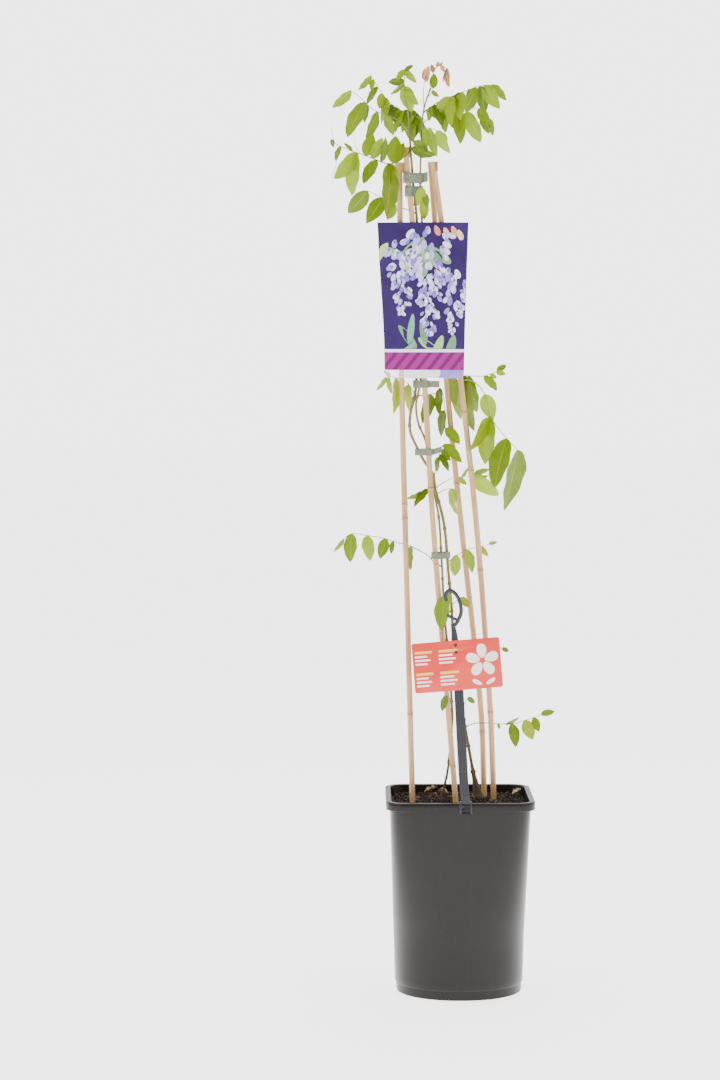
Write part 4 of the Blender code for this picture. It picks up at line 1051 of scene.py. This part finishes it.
# Each cluster of blossom: the middle of its top, its width, length, petals and lowest layer
CLUSTERS = (((28, 186), 44, 98, 60, 24), ((100, 150), 34, 86, 46, 24), ((66, 204), 56, 146, 120, 90))
BLOSSOM_SIZE = 13
BLOSSOM_INKS = ("E9E4FB", "CBC0F2", "A898E6", "8070D4", "5F4EBC", "D6CAF4")
HEART_INK = "40309C"
PICTURE_LEAVES = 16
LEAF_INKS = ("5EA22A", "8CC438", "3E8426", "B4D450", "4EA06A")
BUDS = (((96, 205), "EC8A1E"), ((86, 203), "F2B238"), ((74, 206), "DC6A20"), ((104, 200), "F4CC78"))
BUD_LAYER = 20
motifs = {"points": [], "faces": [], "inks": []}


def motif(centre, angle, length, width, ink, layer):
    """Prints one petal or leaf: its root (across, up), its heading, and its size."""
    start = len(motifs["points"])
    lift = LABEL_THICK / 2 + FIRST_LAYER + LAYER_RISE * layer
    for across, up in petal_outline(centre, angle, length, width):
        across = min(max(across, PICTURE_MARGIN), PICTURE_WIDTH - PICTURE_MARGIN)
        up = min(max(up, RULE_TOP + PICTURE_MARGIN), LABEL_TOP_Z - LABEL_FOOT_Z - PICTURE_MARGIN)
        motifs["points"].append(label_point(across / PICTURE_WIDTH, up, lift))
        motifs["inks"].append(linear(ink))
    motifs["faces"].append(list(range(start, start + PETAL_POINTS)))


def cluster(centre, wide, long, petals, layer):
    """A hanging cluster of blossom, broad at its top and tapering to buds."""
    for index in range(petals):
        down = (index / petals) ** 0.85
        reach = wide / 2 * (1 - down) ** 0.7
        across = centre[0] + chance.uniform(-reach, reach)
        up = centre[1] - down * long + chance.uniform(-2, 2)
        away = math.atan2(-1.0, (across - centre[0]) / (reach + 1) * 1.3)
        size = BLOSSOM_SIZE * (1 - 0.5 * down) * chance.uniform(0.8, 1.2)
        ink = chance.choice(BLOSSOM_INKS)
        motif((across, up), away + chance.uniform(-0.4, 0.4), size, size * 0.62, ink, layer + index)
        if index % 3 == 0:
            motif((across, up), away + 0.2, size * 0.55, size * 0.3, HEART_INK, layer + index + 1)


for index in range(PICTURE_LEAVES):
    centre = (chance.uniform(6, 110), chance.choice((chance.uniform(44, 90), chance.uniform(160, 200))))
    ink = chance.choice(LEAF_INKS)
    motif(centre, chance.uniform(-2.6, -0.5), chance.uniform(28, 44), chance.uniform(10, 15), ink, index)
for centre, ink in BUDS:
    motif(centre, -1.2, 15, 8, ink, BUD_LAYER)
for shape in CLUSTERS:
    cluster(*shape)
mesh = bpy.data.meshes.new("label_motifs")
mesh.from_pydata([tuple(point) for point in motifs["points"]], [], motifs["faces"])
inks = mesh.color_attributes.new("ink", "FLOAT_COLOR", "POINT")
inks.data.foreach_set("color", [part for ink in motifs["inks"] for part in ink])
picture = modified(placed("label_motifs", mesh), "SOLIDIFY", thickness=INK_FILM * MM, offset=0)

# Process inks: glossy and thin, each motif in its own mixed colour, a little uneven as a halftone is.
inked = new_material("process inks", "B0A6E0", 0.4, Specular_IOR_Level=0.25)
ink = add(inked, "Attribute", {}, {"attribute_name": "ink"}, out="Color")
where = add(inked, "TexCoord", {}, out="Object")
uneven = add(inked, "TexNoise", {"Vector": where, "Scale": grains(3.85), "Detail": 2.0})
shade = add(inked, "MixRGB", {"Fac": uneven, "Color1": linear("7E72B8"), "Color2": linear("FFFFFF")})
tint = add(inked, "MixRGB", {"Fac": 0.18, "Color1": ink, "Color2": shade})
wire(inked, Base_Color=tint)
finished(picture, inked, "label", angle=30)

# The fronds: each a thin green stalk with leaflets along it. A leaflet is egg shaped and drawn out to a
# point, folded along its rib and waved at its edges. The young fronds at the top are bronze.
BLADE_RATIO = 0.53
BLADE_LEAN = math.radians(16)
BLADE_THICK = 0.3
BLADE_ARCH = 0.09
BLADE_FOLD = 0.16
BLADE_OVERLAP = 0.3
NARROWEST = 0.014
EDGE_WAVES, EDGE_SHIFT = 17, 2.1
LEAF_ROWS = 20
LEAF_COLUMNS = 8
VEINS = 9
# Leaflets longer than the first have a long form, and those shorter than the second a small one
LONG_LEAF, SMALL_LEAF = 42, 17
# On a pale frond, leaflets longer than this have the green of the grown leaf
GROWN = 55
# How much of the turn given for it a leaflet's blade makes
TURN_SHARE = 0.85
# A stalk's rows, how much thicker it is in the first of them, how thick its tip is, and how deep it is in the
# stem
STALK_ROWS = 48
STALK_SWELL = (1.7, 1.5, 1.3, 1.1)
STALK_TIP = 0.55
STALK_SINK = 0.3
LEAF_SLOTS = {"leaf": "leaf", "pale": "pale_leaf", "bronze": "bronze_leaf"}
# Each frond: its colour, its stalk's radius, the stalk's points (x, y, z) from the stem to the tip,
# and its leaflets as (place along the stalk, heading seen from the front in degrees, length, turn)
FRONDS = {
    "frond_crown_far_left": ("leaf", 0.8,
        ((-73, -20, 1176), (-88, -32, 1186), (-107, -45, 1192), (-121, -52, 1199), (-134, -58, 1211),
         (-148, -62, 1221)),
        ((1.0, -134, 35, 60), (0.77, -120, 54, 55), (0.71, -107, 25, 55), (0.56, -110, 41, 65))),
    "frond_crown_left_top": ("leaf", 0.8,
        ((-68, 5, 1190), (-83, 8, 1202), (-96, 12, 1212), (-108, 14, 1227), (-117, 14, 1242),
         (-121, 13, 1248)),
        ((1.0, -127, 27, 65), (0.94, -101, 18, 50), (0.81, -129, 29, 60), (0.71, -97, 22, 0),
         (0.58, -113, 33, 70), (0.51, -93, 30, 25), (0.41, -120, 28, 65), (0.32, -115, 33, 70),
         (0.22, -118, 26, 65), (0.14, -119, 13, 50))),
    "frond_crown_left": ("leaf", 0.9,
        ((-68, -24, 1143), (-78, -28, 1134), (-88, -32, 1127), (-101, -38, 1126), (-116, -46, 1131),
         (-137, -56, 1138), (-153, -60, 1143), (-169, -64, 1151), (-174, -65, 1156)),
        ((1.0, -71, 12, 20), (0.88, -111, 22, 60), (0.75, 132, 17, 60), (0.69, -127, 48, 45),
         (0.71, -100, 60, 55), (0.47, -119, 38, 45), (0.6, 70, 35, 0), (0.41, 76, 34, 70),
         (0.3, -81, 33, 0), (0.32, -87, 73, 65), (0.27, 85, 41, 5))),
    "frond_crown_left_low": ("leaf", 0.8,
        ((-62, -4, 1061), (-69, -2, 1065), (-77, 3, 1068), (-88, 2, 1072), (-104, -6, 1081),
         (-126, -14, 1091)),
        ((0.99, -129, 42, 15), (0.67, -127, 42, 10), (0.41, -122, 24, 0))),
    "leafy_tip_left": ("leaf", 0.9,
        ((-69, -10, 1171), (-71, -22, 1196), (-74, -28, 1218), (-76, -30, 1235), (-75, -30, 1253)),
        ((0.82, -171, 23, 35), (0.98, -133, 20, 40), (1.0, -54, 26, 60), (0.97, 33, 14, 40),
         (0.73, -76, 38, 0), (0.64, -48, 26, 35), (0.78, -137, 26, 80))),
    "frond_crown_back": ("leaf", 0.8,
        ((-54, 0, 1188), (-58, 12, 1197), (-65, 20, 1203), (-73, 26, 1202)),
        ((1.0, -95, 33, 65), (0.85, -89, 48, 55), (0.49, -72, 41, 65), (0.68, -74, 32, 65))),
    "frond_crown_right": ("leaf", 0.9,
        ((-49, -8, 1196), (-40, -16, 1203), (-28, -24, 1210), (-9, -34, 1217), (10, -42, 1224),
         (30, -48, 1229), (39, -50, 1229)),
        ((1.0, -38, 31, 50), (0.92, -62, 39, 30), (0.88, -84, 38, 40), (0.81, -111, 38, 45),
         (0.73, -83, 27, 20), (0.61, -97, 39, 50), (0.6, -124, 21, 0), (0.47, -99, 42, 65),
         (0.4, -120, 23, 0), (0.19, -67, 34, 50), (0.14, -105, 21, 40))),
    "frond_crown_right_low": ("leaf", 0.8,
        ((-48, 2, 1182), (-35, 12, 1195), (-19, 18, 1200), (-2, 22, 1199), (14, 25, 1202), (25, 27, 1205),
         (38, 29, 1192)),
        ((1.0, -67, 27, 50), (0.84, -56, 28, 10), (0.69, -69, 49, 50), (0.55, -80, 45, 50),
         (0.4, -87, 30, 50), (0.49, -85, 17, 15))),
    "frond_crown_right_drooping": ("pale", 0.7,
        ((-49, -12, 1176), (-41, -20, 1174), (-33, -26, 1171), (-27, -30, 1167)),
        ((1.0, -51, 16, 0), (0.79, -66, 37, 55), (0.44, -80, 41, 60), (0.19, -86, 23, 35))),
    "frond_crown_front": ("leaf", 0.8,
        ((-65, -23, 1145), (-64, -27, 1150), (-63, -31, 1156)),
        ((1.0, -33, 26, 0), (0.24, -23, 35, 55))),
    "frond_below_top_tie": ("leaf", 0.7,
        ((-52, -10, 1070), (-48, -17, 1078), (-48, -24, 1087), (-51, -27, 1094)),
        ((1.0, -107, 27, 0), (0.72, -82, 20, 35), (0.41, -92, 28, 30))),
    "young_frond_bronze": ("bronze", 0.7,
        ((-39, -14, 1231), (-38, -16, 1244), (-33, -20, 1255), (-26, -24, 1258), (-18, -28, 1253)),
        ((1.0, -106, 19, 60), (0.97, -85, 27, 70), (0.76, -60, 11, 0), (0.61, 72, 9, 0),
         (0.43, 105, 13, 0), (0.69, 36, 8, 0), (0.34, -30, 8, 0))),
    "young_frond_bud": ("bronze", 0.7,
        ((-54, -2, 1205), (-50, -6, 1223), (-48, -8, 1240)),
        ((1.0, 95, 17, 50), (1.0, 76, 20, 45), (0.93, 62, 16, 55))),
    "young_frond_green": ("leaf", 0.7,
        ((-45, -16, 1214), (-41, -23, 1220), (-37, -26, 1227)),
        ((1.0, 88, 22, 0), (0.83, -47, 13, 35))),
    "frond_right_drooping": ("pale", 0.9,
        ((-49, -9, 845), (-32, -5, 844), (-17, 0, 840), (-3, 8, 835), (15, 14, 835), (28, 12, 826),
         (36, 6, 811), (43, 0, 784), (63, -10, 757), (78, -14, 741)),
        ((1.0, -98, 90, 65), (0.89, -108, 70, 55), (0.7, -101, 69, 55), (0.69, -119, 59, 75),
         (0.53, -72, 41, 0))),
    "frond_right_upper": ("leaf", 0.8,
        ((-49, -6, 861), (-32, 8, 854), (-16, 28, 846), (-5, 33, 842), (13, 35, 841), (34, 30, 841),
         (52, 26, 847)),
        ((1.0, 38, 17, 30), (0.99, -16, 14, 10), (0.92, -35, 12, 0), (0.85, -46, 28, 45),
         (0.69, -83, 55, 60), (0.64, -86, 79, 75), (0.61, -69, 23, 55), (0.49, -87, 44, 60),
         (0.53, -87, 65, 75))),
    "frond_right_level": ("pale", 0.7,
        ((-30, -6, 690), (-17, 14, 698), (-6, 34, 701), (10, 39, 703), (21, 39, 704)),
        ((1.0, 26, 25, 65), (0.98, -7, 23, 70), (1.0, -43, 48, 40), (0.7, -32, 18, 45), (0.79, 47, 18, 65))),
    "frond_below_label": ("leaf", 0.7,
        ((-36, -6, 810), (-31, -2, 818), (-27, 2, 825), (-22, 6, 814), (-20, 8, 795), (-19, 6, 770)),
        ((0.2, -102, 44, 50), (0.42, -97, 39, 70), (0.75, -102, 39, 65), (1.0, -45, 30, 25))),
    "frond_centre": ("leaf", 0.7,
        ((-34, -10, 704), (-31, -8, 723), (-26, -6, 739), (-23, -6, 747)),
        ((1.0, -38, 38, 50), (0.87, -51, 21, 50), (0.61, -102, 22, 60), (0.71, -58, 27, 60))),
    "frond_left_narrow": ("leaf", 0.7,
        ((-36, -8, 691), (-40, -10, 689), (-45, -13, 686)),
        ((0.95, -152, 32, 70), (0.66, -137, 33, 70))),
    "leaf_beside_cane": ("pale", 0.7,
        ((-29, -12, 682), (-19, -10, 687), (-10, -8, 688)),
        ((1.0, -77, 22, 0), (0.86, -79, 38, 80))),
    "frond_left_pale": ("pale", 0.7,
        ((-64, -11, 818), (-69, -8, 829), (-78, -3, 835), (-89, -5, 839), (-100, -8, 840)),
        ((1.0, -120, 25, 70), (0.94, -79, 25, 70), (0.89, 130, 13, 50), (0.72, -90, 50, 75),
         (0.3, -88, 43, 70))),
    "frond_left_long": ("leaf", 0.8,
        ((-27, -17, 582), (-35, -15, 588), (-43, -14, 597), (-57, -12, 605), (-70, -9, 611),
         (-89, -12, 616), (-103, -18, 621), (-125, -26, 625), (-146, -34, 628), (-158, -38, 621)),
        ((1.0, -122, 24, 70), (0.91, -93, 39, 35), (0.75, -91, 38, 35), (0.58, -107, 29, 0),
         (0.5, -103, 19, 55), (0.34, -96, 34, 70))),
    "frond_right_thin": ("pale", 0.7,
        ((-14, -8, 588), (-2, 0, 598), (12, 10, 604), (29, 14, 608), (41, 12, 611)),
        ((1.0, 18, 13, 50), (0.82, -52, 18, 40), (0.28, -96, 32, 30), (0.55, -75, 33, 50))),
    "leaf_by_hook": ("leaf", 0.7,
        ((-9, -8, 529), (-2, -2, 536), (2, 2, 539)),
        ((1.0, -49, 20, 15),)),
    "frond_hook_front": ("leaf", 0.7,
        ((-14, -20, 552), (-16, -34, 550), (-19, -44, 548), (-22, -49, 545)),
        ((0.78, -67, 19, 45), (1.0, -98, 48, 45))),
    "frond_behind_card": ("leaf", 0.7,
        ((2, -2, 436), (15, 0, 448), (39, -6, 463), (58, -12, 471)),
        ((1.0, -31, 12, 0), (0.69, -78, 28, 40), (0.36, -101, 30, 45))),
    "leaf_low_left": ("leaf", 0.6,
        ((-12, -31, 398), (-13, -42, 404), (-18, -49, 409), (-21, -51, 410)),
        ((1.0, -95, 25, 45),)),
    "leaf_low_right": ("leaf", 0.6,
        ((5, -12, 390), (9, -20, 399), (11, -22, 404)),
        ((1.0, -37, 14, 15),)),
    "frond_low_right": ("leaf", 0.8,
        ((9, -4, 362), (21, 8, 365), (38, 17, 365), (54, 16, 364), (73, 8, 365), (92, 0, 371),
         (112, -8, 379)),
        ((1.0, 16, 21, 50), (0.9, -68, 21, 0), (0.79, -70, 33, 0), (0.62, -78, 33, 35), (0.54, 21, 23, 70),
         (0.45, -75, 8, 0))),
}

# More leaflets of the crown's fronds, which fill it behind and between the others, in the same terms
MORE_LEAFLETS = {
    "frond_crown_right": ((0.10, -35, 28, 20), (0.44, -138, 25, 15), (0.5, -60, 24, 15), (0.3, -88, 30, 30)),
    "frond_crown_right_low": ((0.46, -62, 31, 15), (0.62, -100, 34, 30), (0.93, -80, 30, 35)),
    "frond_crown_right_drooping": ((0.10, -84, 27, 35),),
    "frond_crown_left_top": ((0.46, -72, 31, 15), (0.64, -88, 27, 30)),
    "frond_crown_left": ((0.52, 64, 31, 25), (0.25, 68, 33, 25), (0.31, -95, 32, 15)),
    "frond_crown_back": ((0.3, -108, 34, 40), (0.92, -120, 30, 30)),
    "frond_crown_far_left": ((0.42, -76, 30, 45),),
}


def pick(piece, wanted):
    """In edit mode, selects the vertices whose place passes the test."""
    bm = bmesh.from_edit_mesh(piece.data)
    for face in bm.faces:
        face.select_set(False)
    for edge in bm.edges:
        edge.select_set(False)
    for vert in bm.verts:
        vert.select_set(bool(wanted(vert.co)))
    bm.select_flush(True)
    bmesh.update_edit_mesh(piece.data)


def leaflet_form(peak, tip, arch, fold, wave, curl):
    """A leaflet one unit long: how far along it is widest, how drawn out its tip is, how its blade bends."""
    power = tip * peak / (1 - peak)
    highest = peak**power * (1 - peak) ** tip
    wides = [max(NARROWEST, (row / LEAF_ROWS) ** power * (1 - row / LEAF_ROWS) ** tip / highest)
             for row in range(LEAF_ROWS + 1)]
    deselect()
    bpy.ops.mesh.primitive_grid_add(x_subdivisions=LEAF_ROWS, y_subdivisions=LEAF_COLUMNS, size=1,
                                    location=(0.5, 0, 0))
    leaf = bpy.context.object
    bpy.ops.object.transform_apply(location=True)
    bpy.ops.object.mode_set(mode="EDIT")
    for row, wide in enumerate(wides):
        along = row / LEAF_ROWS
        pick(leaf, lambda co: abs(co.x - along) < 0.3 / LEAF_ROWS)
        bpy.ops.transform.resize(value=(1, wide * BLADE_RATIO, 1))
        bpy.ops.transform.translate(value=(0, curl * along**2, -arch * along**2))
    bpy.ops.object.mode_set(mode="OBJECT")
    for vert in leaf.data.vertices:
        row = round(vert.co.x * LEAF_ROWS)
        half = wides[row] * BLADE_RATIO / 2
        side = (vert.co.y - curl * (row / LEAF_ROWS) ** 2) / half
        ripple = wave * side**2 * math.sin(vert.co.x * EDGE_WAVES + (EDGE_SHIFT if side > 0 else 0))
        vert.co.z += half * (fold * abs(side) + ripple)
    return leaf


def leaflet_frame(heading, lean, turn):
    """A leaflet's direction and its face's normal, from how it looks from the front."""
    flat = Vector((math.cos(heading), 0, math.sin(heading)))
    along = flat * math.cos(lean) + Vector((0, -1, 0)) * math.sin(lean)
    facing = Vector((0, -1, 0))
    normal = (facing - along * facing.dot(along)).normalized()
    return along, Matrix.Rotation(turn, 3, along) @ normal


def leaflet_place(root, direction, normal, length):
    """The matrix that puts a leaflet's form in its place: its root, its direction and its length in mm."""
    place = Matrix((direction, normal.cross(direction), normal)).transposed().to_4x4()
    place = place @ Matrix.Scale(length * MM, 4)
    place.translation = root * MM
    return place


def sprung_from(point):
    """The point moved so that a stalk starts just inside the skin of the stem nearest to it."""
    nearest = None
    for rows in stems.values():
        fine = smooth_path(rows, len(rows) * 8)
        away = np.linalg.norm(fine[:, :3] - np.array(point), axis=1)
        best = int(np.argmin(away))
        if nearest is None or away[best] < nearest[0]:
            nearest = (away[best], fine[best])
    at, stem_radius = nearest[1][:3], nearest[1][3]
    out = (np.array(point) - at) / nearest[0]
    return tuple(at + out * (stem_radius - STALK_SINK))


def toned(mesh, tone):
    """Marks a mesh with how bright its leaf is."""
    values = mesh.attributes.new("tone", "FLOAT", "POINT")
    values.data.foreach_set("value", [tone] * len(mesh.vertices))


def frond(name, colour, radius, points, leaflets):
    """A frond: its stalk from the nearest stem, and its leaflets, each a copy of a form in its place."""
    path = smooth_path([sprung_from(points[0]), *points[1:]], STALK_ROWS)
    blades = []
    for index, (along, heading, length, turn) in enumerate(leaflets):
        kind = "long" if length > LONG_LEAF else "small" if length < SMALL_LEAF else "plain"
        form = forms[kind][(index * 2 + len(name)) % len(forms[kind])]
        lean = BLADE_LEAN if index % 2 else -BLADE_LEAN
        spin = math.radians(turn if index % 3 else -turn) * TURN_SHARE
        direction, normal = leaflet_frame(math.radians(heading), lean, spin)
        at = [np.interp(along * (STALK_ROWS - 1), range(STALK_ROWS), column) for column in path.T]
        root = Vector(at) - direction * BLADE_OVERLAP
        mesh = form.data.copy()
        mesh.transform(leaflet_place(root, direction, normal, length))
        toned(mesh, chance.random())
        mesh.materials.append(leaf_skins["leaf" if colour == "pale" and length > GROWN else colour])
        blades.append(placed("blade", mesh))
    leaves = joined(name + "_leaf", blades)
    modified(leaves, "SOLIDIFY", thickness=BLADE_THICK * MM, offset=0)
    # The blade tip farthest to the left would pass the object's left side, so it is held back to it.
    for vert in leaves.data.vertices:
        vert.co.x = max(vert.co.x, cad_box[0][0])
    taper = np.linspace(radius, radius * STALK_TIP, STALK_ROWS)
    taper[:len(STALK_SWELL)] *= STALK_SWELL
    stalk = tube("stalk", np.c_[path, taper], resolution=2)
    toned(stalk.data, 0.5)
    stalk.data.materials.append(stalk_skins[colour])
    finished(joined(leaves.name, [leaves, stalk]), None, LEAF_SLOTS[colour], name, angle=60)


def leaf_skin(name, dark, bright, rib, glow, share, roughness):
    """A leaf's skin: its shade by leaflet, a pale rib with side veins, and light that comes through it."""
    made = new_material(name, bright, roughness, Specular_IOR_Level=0.3)
    where = add(made, "TexCoord", {}, out="Object")
    spot = add(made, "TexCoord", {}, out="UV")
    along = add(made, "SeparateXYZ", {"Vector": spot}, out="X")
    across = add(made, "SeparateXYZ", {"Vector": spot}, out="Y")
    centred = add(made, "Math", {0: across, 1: 0.5}, {"operation": "SUBTRACT"})
    side = add(made, "Math", {0: centred}, {"operation": "ABSOLUTE"})
    midrib = add(made, "MapRange", {"Value": side, "From Max": 0.035, "To Min": 1.0, "To Max": 0.0})
    slant = add(made, "Math", {0: side, 1: -0.55, 2: along}, {"operation": "MULTIPLY_ADD"})
    phase = add(made, "Math", {0: slant, 1: VEINS * math.tau}, {"operation": "MULTIPLY"})
    wave = add(made, "Math", {0: phase}, {"operation": "SINE"})
    vein = add(made, "MapRange", {"Value": wave, "From Min": 0.75, "From Max": 1.0})
    tone = add(made, "Attribute", {}, {"attribute_name": "tone"}, out="Fac")
    mottle = add(made, "TexNoise", {"Vector": where, "Scale": grains(7.69), "Detail": 4.0, "Roughness": 0.6})
    shade = add(made, "Math", {0: mottle, 1: 0.5, 2: tone}, {"operation": "MULTIPLY_ADD"})
    shade = add(made, "MapRange", {"Value": shade, "From Min": 0.15, "From Max": 1.3})
    tint = add(made, "MixRGB", {"Fac": shade, "Color1": linear(dark), "Color2": linear(bright)})
    faint = add(made, "Math", {0: vein, 1: 0.22}, {"operation": "MULTIPLY"})
    lines = add(made, "Math", {0: midrib, 1: 0.7, 2: faint}, {"operation": "MULTIPLY_ADD", "use_clamp": True})
    tint = add(made, "MixRGB", {"Fac": lines, "Color1": tint, "Color2": linear(rib)})
    sunk = add(made, "Math", {0: lines, 1: -1.0, 2: mottle}, {"operation": "MULTIPLY_ADD"})
    bump = add(made, "Bump", {"Height": sunk, "Strength": 0.35, "Distance": 0.0006})
    wire(made, Base_Color=tint, Normal=bump)
    lit = add(made, "MixRGB", {"Fac": 0.55, "Color1": tint, "Color2": linear(glow)})
    through = add(made, "BsdfTranslucent", {"Color": lit, "Normal": bump})
    front = made.node_tree.nodes["Principled BSDF"].outputs["BSDF"]
    both = add(made, "MixShader", {0: share, 1: front, 2: through})
    made.node_tree.links.new(both, made.node_tree.nodes["Material Output"].inputs["Surface"])
    return made


def stalk_skin(name, low, high):
    """A stalk's skin: smooth, with darker and paler stretches."""
    made = new_material(name, high, 0.5)
    where = add(made, "TexCoord", {}, out="Object")
    stretch = add(made, "TexNoise", {"Vector": where, "Scale": grains(14.3), "Detail": 2.0})
    tint = add(made, "MixRGB", {"Fac": stretch, "Color1": linear(low), "Color2": linear(high)})
    wire(made, Base_Color=tint)
    return made


forms = {
    "plain": [leaflet_form(0.42, 0.9, BLADE_ARCH, BLADE_FOLD, 0.05, 0.0),
              leaflet_form(0.40, 0.95, BLADE_ARCH * 1.3, BLADE_FOLD * 0.7, 0.07, 0.03),
              leaflet_form(0.44, 0.85, BLADE_ARCH * 0.7, BLADE_FOLD * 1.2, 0.06, -0.03)],
    "long": [leaflet_form(0.42, 0.85, BLADE_ARCH, BLADE_FOLD, 0.05, 0.02),
             leaflet_form(0.44, 0.8, BLADE_ARCH * 1.3, BLADE_FOLD * 0.8, 0.06, -0.02),
             leaflet_form(0.40, 0.9, BLADE_ARCH * 0.7, BLADE_FOLD * 1.2, 0.05, 0.0)],
    "small": [leaflet_form(0.40, 0.85, BLADE_ARCH, BLADE_FOLD * 1.2, 0.03, 0.0),
              leaflet_form(0.44, 0.85, BLADE_ARCH * 1.5, BLADE_FOLD * 1.5, 0.03, 0.03)],
}

# Grown wisteria leaf: thin and satin, fresh yellow green, and darker on some leaflets. Leaf in strong light:
# the same leaf painted paler because more light comes through it, so this paleness is painted light.
# Unfolding leaf: bronze and downy.
leaf_skins = {
    "leaf": leaf_skin("grown wisteria leaf", "46620A", "A4BA0A", "BCCC44", "B8D006", 0.42, 0.42),
    "pale": leaf_skin("light struck wisteria leaf", "8CAC26", "BED040", "CEDC7C", "CCE048", 0.5, 0.45),
    "bronze": leaf_skin("unfolding wisteria leaf", "A07A4C", "DEB682", "E6CCA2", "EAC694", 0.4, 0.55),
}
# The stalks of fronds in strong light get a paler copy of the green stalk's skin, which is painted light.
stalk_skins = {
    "leaf": stalk_skin("green frond stalk", "4C5A18", "76803A"),
    "pale": stalk_skin("frond stalk with painted light", "6E7C34", "929C54"),
    "bronze": stalk_skin("bronze frond stalk", "8E6E38", "B8965C"),
}
for name, (colour, radius, points, leaflets) in FRONDS.items():
    frond(name, colour, radius, points, (*leaflets, *MORE_LEAFLETS.get(name, ())))

# The threads: the ends of stalks that have lost their leaflets, withered and dry. They are under a millimetre
# thick and straw coloured, and each curls from the crown's left side.
THREADS = {
    "thread_far_left": ((-166, -63, 1128), (-169, -64, 1116), (-172, -65, 1106), (-174, -65, 1096)),
    "thread_left_tip": ((-169, -63, 1152), (-172, -62, 1160), (-173.5, -60, 1169), (-174, -60, 1179)),
    "thread_left_curl": ((-135, -53, 1138), (-141, -47, 1147), (-143, -45, 1158), (-142, -45, 1170)),
    "thread_reddish": ((-77, -29, 1234), (-84, -30, 1230), (-90, -30, 1223), (-94, -30, 1216)),
}
THREAD_RADIUS = 0.4
THREAD_POINTS = 24
withered = stalk_skin("withered frond thread", "9A8A5A", "C4B892")
for name, points in THREADS.items():
    taper = np.linspace(THREAD_RADIUS, THREAD_RADIUS / 2, THREAD_POINTS)
    thread = tube(name, np.c_[smooth_path(points, THREAD_POINTS), taper], resolution=2)
    finished(thread, withered, "bronze_leaf", angle=60)

# The dry leaves on the soil: fallen leaflets, bleached and curled up at their edges. They are as thin as
# paper and lie loose on the crumbs, their tips a little raised.
DRY_LIFT = 2.8
DRY_RISE = 0.12
# Where each one's root is (x, y), its heading from above, its length, and how bright it is
DRY_LEAVES = {
    "dry_leaf_left": ((-46, 66), 15, 20, 0.4),
    "dry_leaf_back": ((-27, 78), -20, 16, 0.7),
    "dry_leaf_right": ((76, 52), 35, 17, 1.0),
}

# Dead leaf: papery and matt, straw coloured with brown blotches.
dead = leaf_skin("dead wisteria leaf", "9A7C50", "D8C49A", "B79B6C", "D8C49A", 0.2, 0.8)
dry_forms = [leaflet_form(0.45, 0.9, -0.25, 0.9, 0.25, 0.08), leaflet_form(0.4, 0.8, 0.2, 1.2, 0.2, -0.1)]
for index, (name, ((x, y), heading, length, tone)) in enumerate(DRY_LEAVES.items()):
    angle = math.radians(heading)
    direction = Vector((math.cos(angle), math.sin(angle), DRY_RISE)).normalized()
    normal = Vector((-direction.x * DRY_RISE, -direction.y * DRY_RISE, 1)).normalized()
    root = Vector((x, y, soil_height(x, y) + DRY_LIFT))
    mesh = dry_forms[index % 2].data.copy()
    mesh.transform(leaflet_place(root, direction, normal, length))
    toned(mesh, tone)
    leaf = modified(placed(name + "_curl", mesh), "SOLIDIFY", thickness=BLADE_THICK * MM, offset=0)
    finished(leaf, dead, "dry_leaf", name, angle=60)
for form in [*forms["plain"], *forms["long"], *forms["small"], *dry_forms]:
    bpy.data.objects.remove(form)
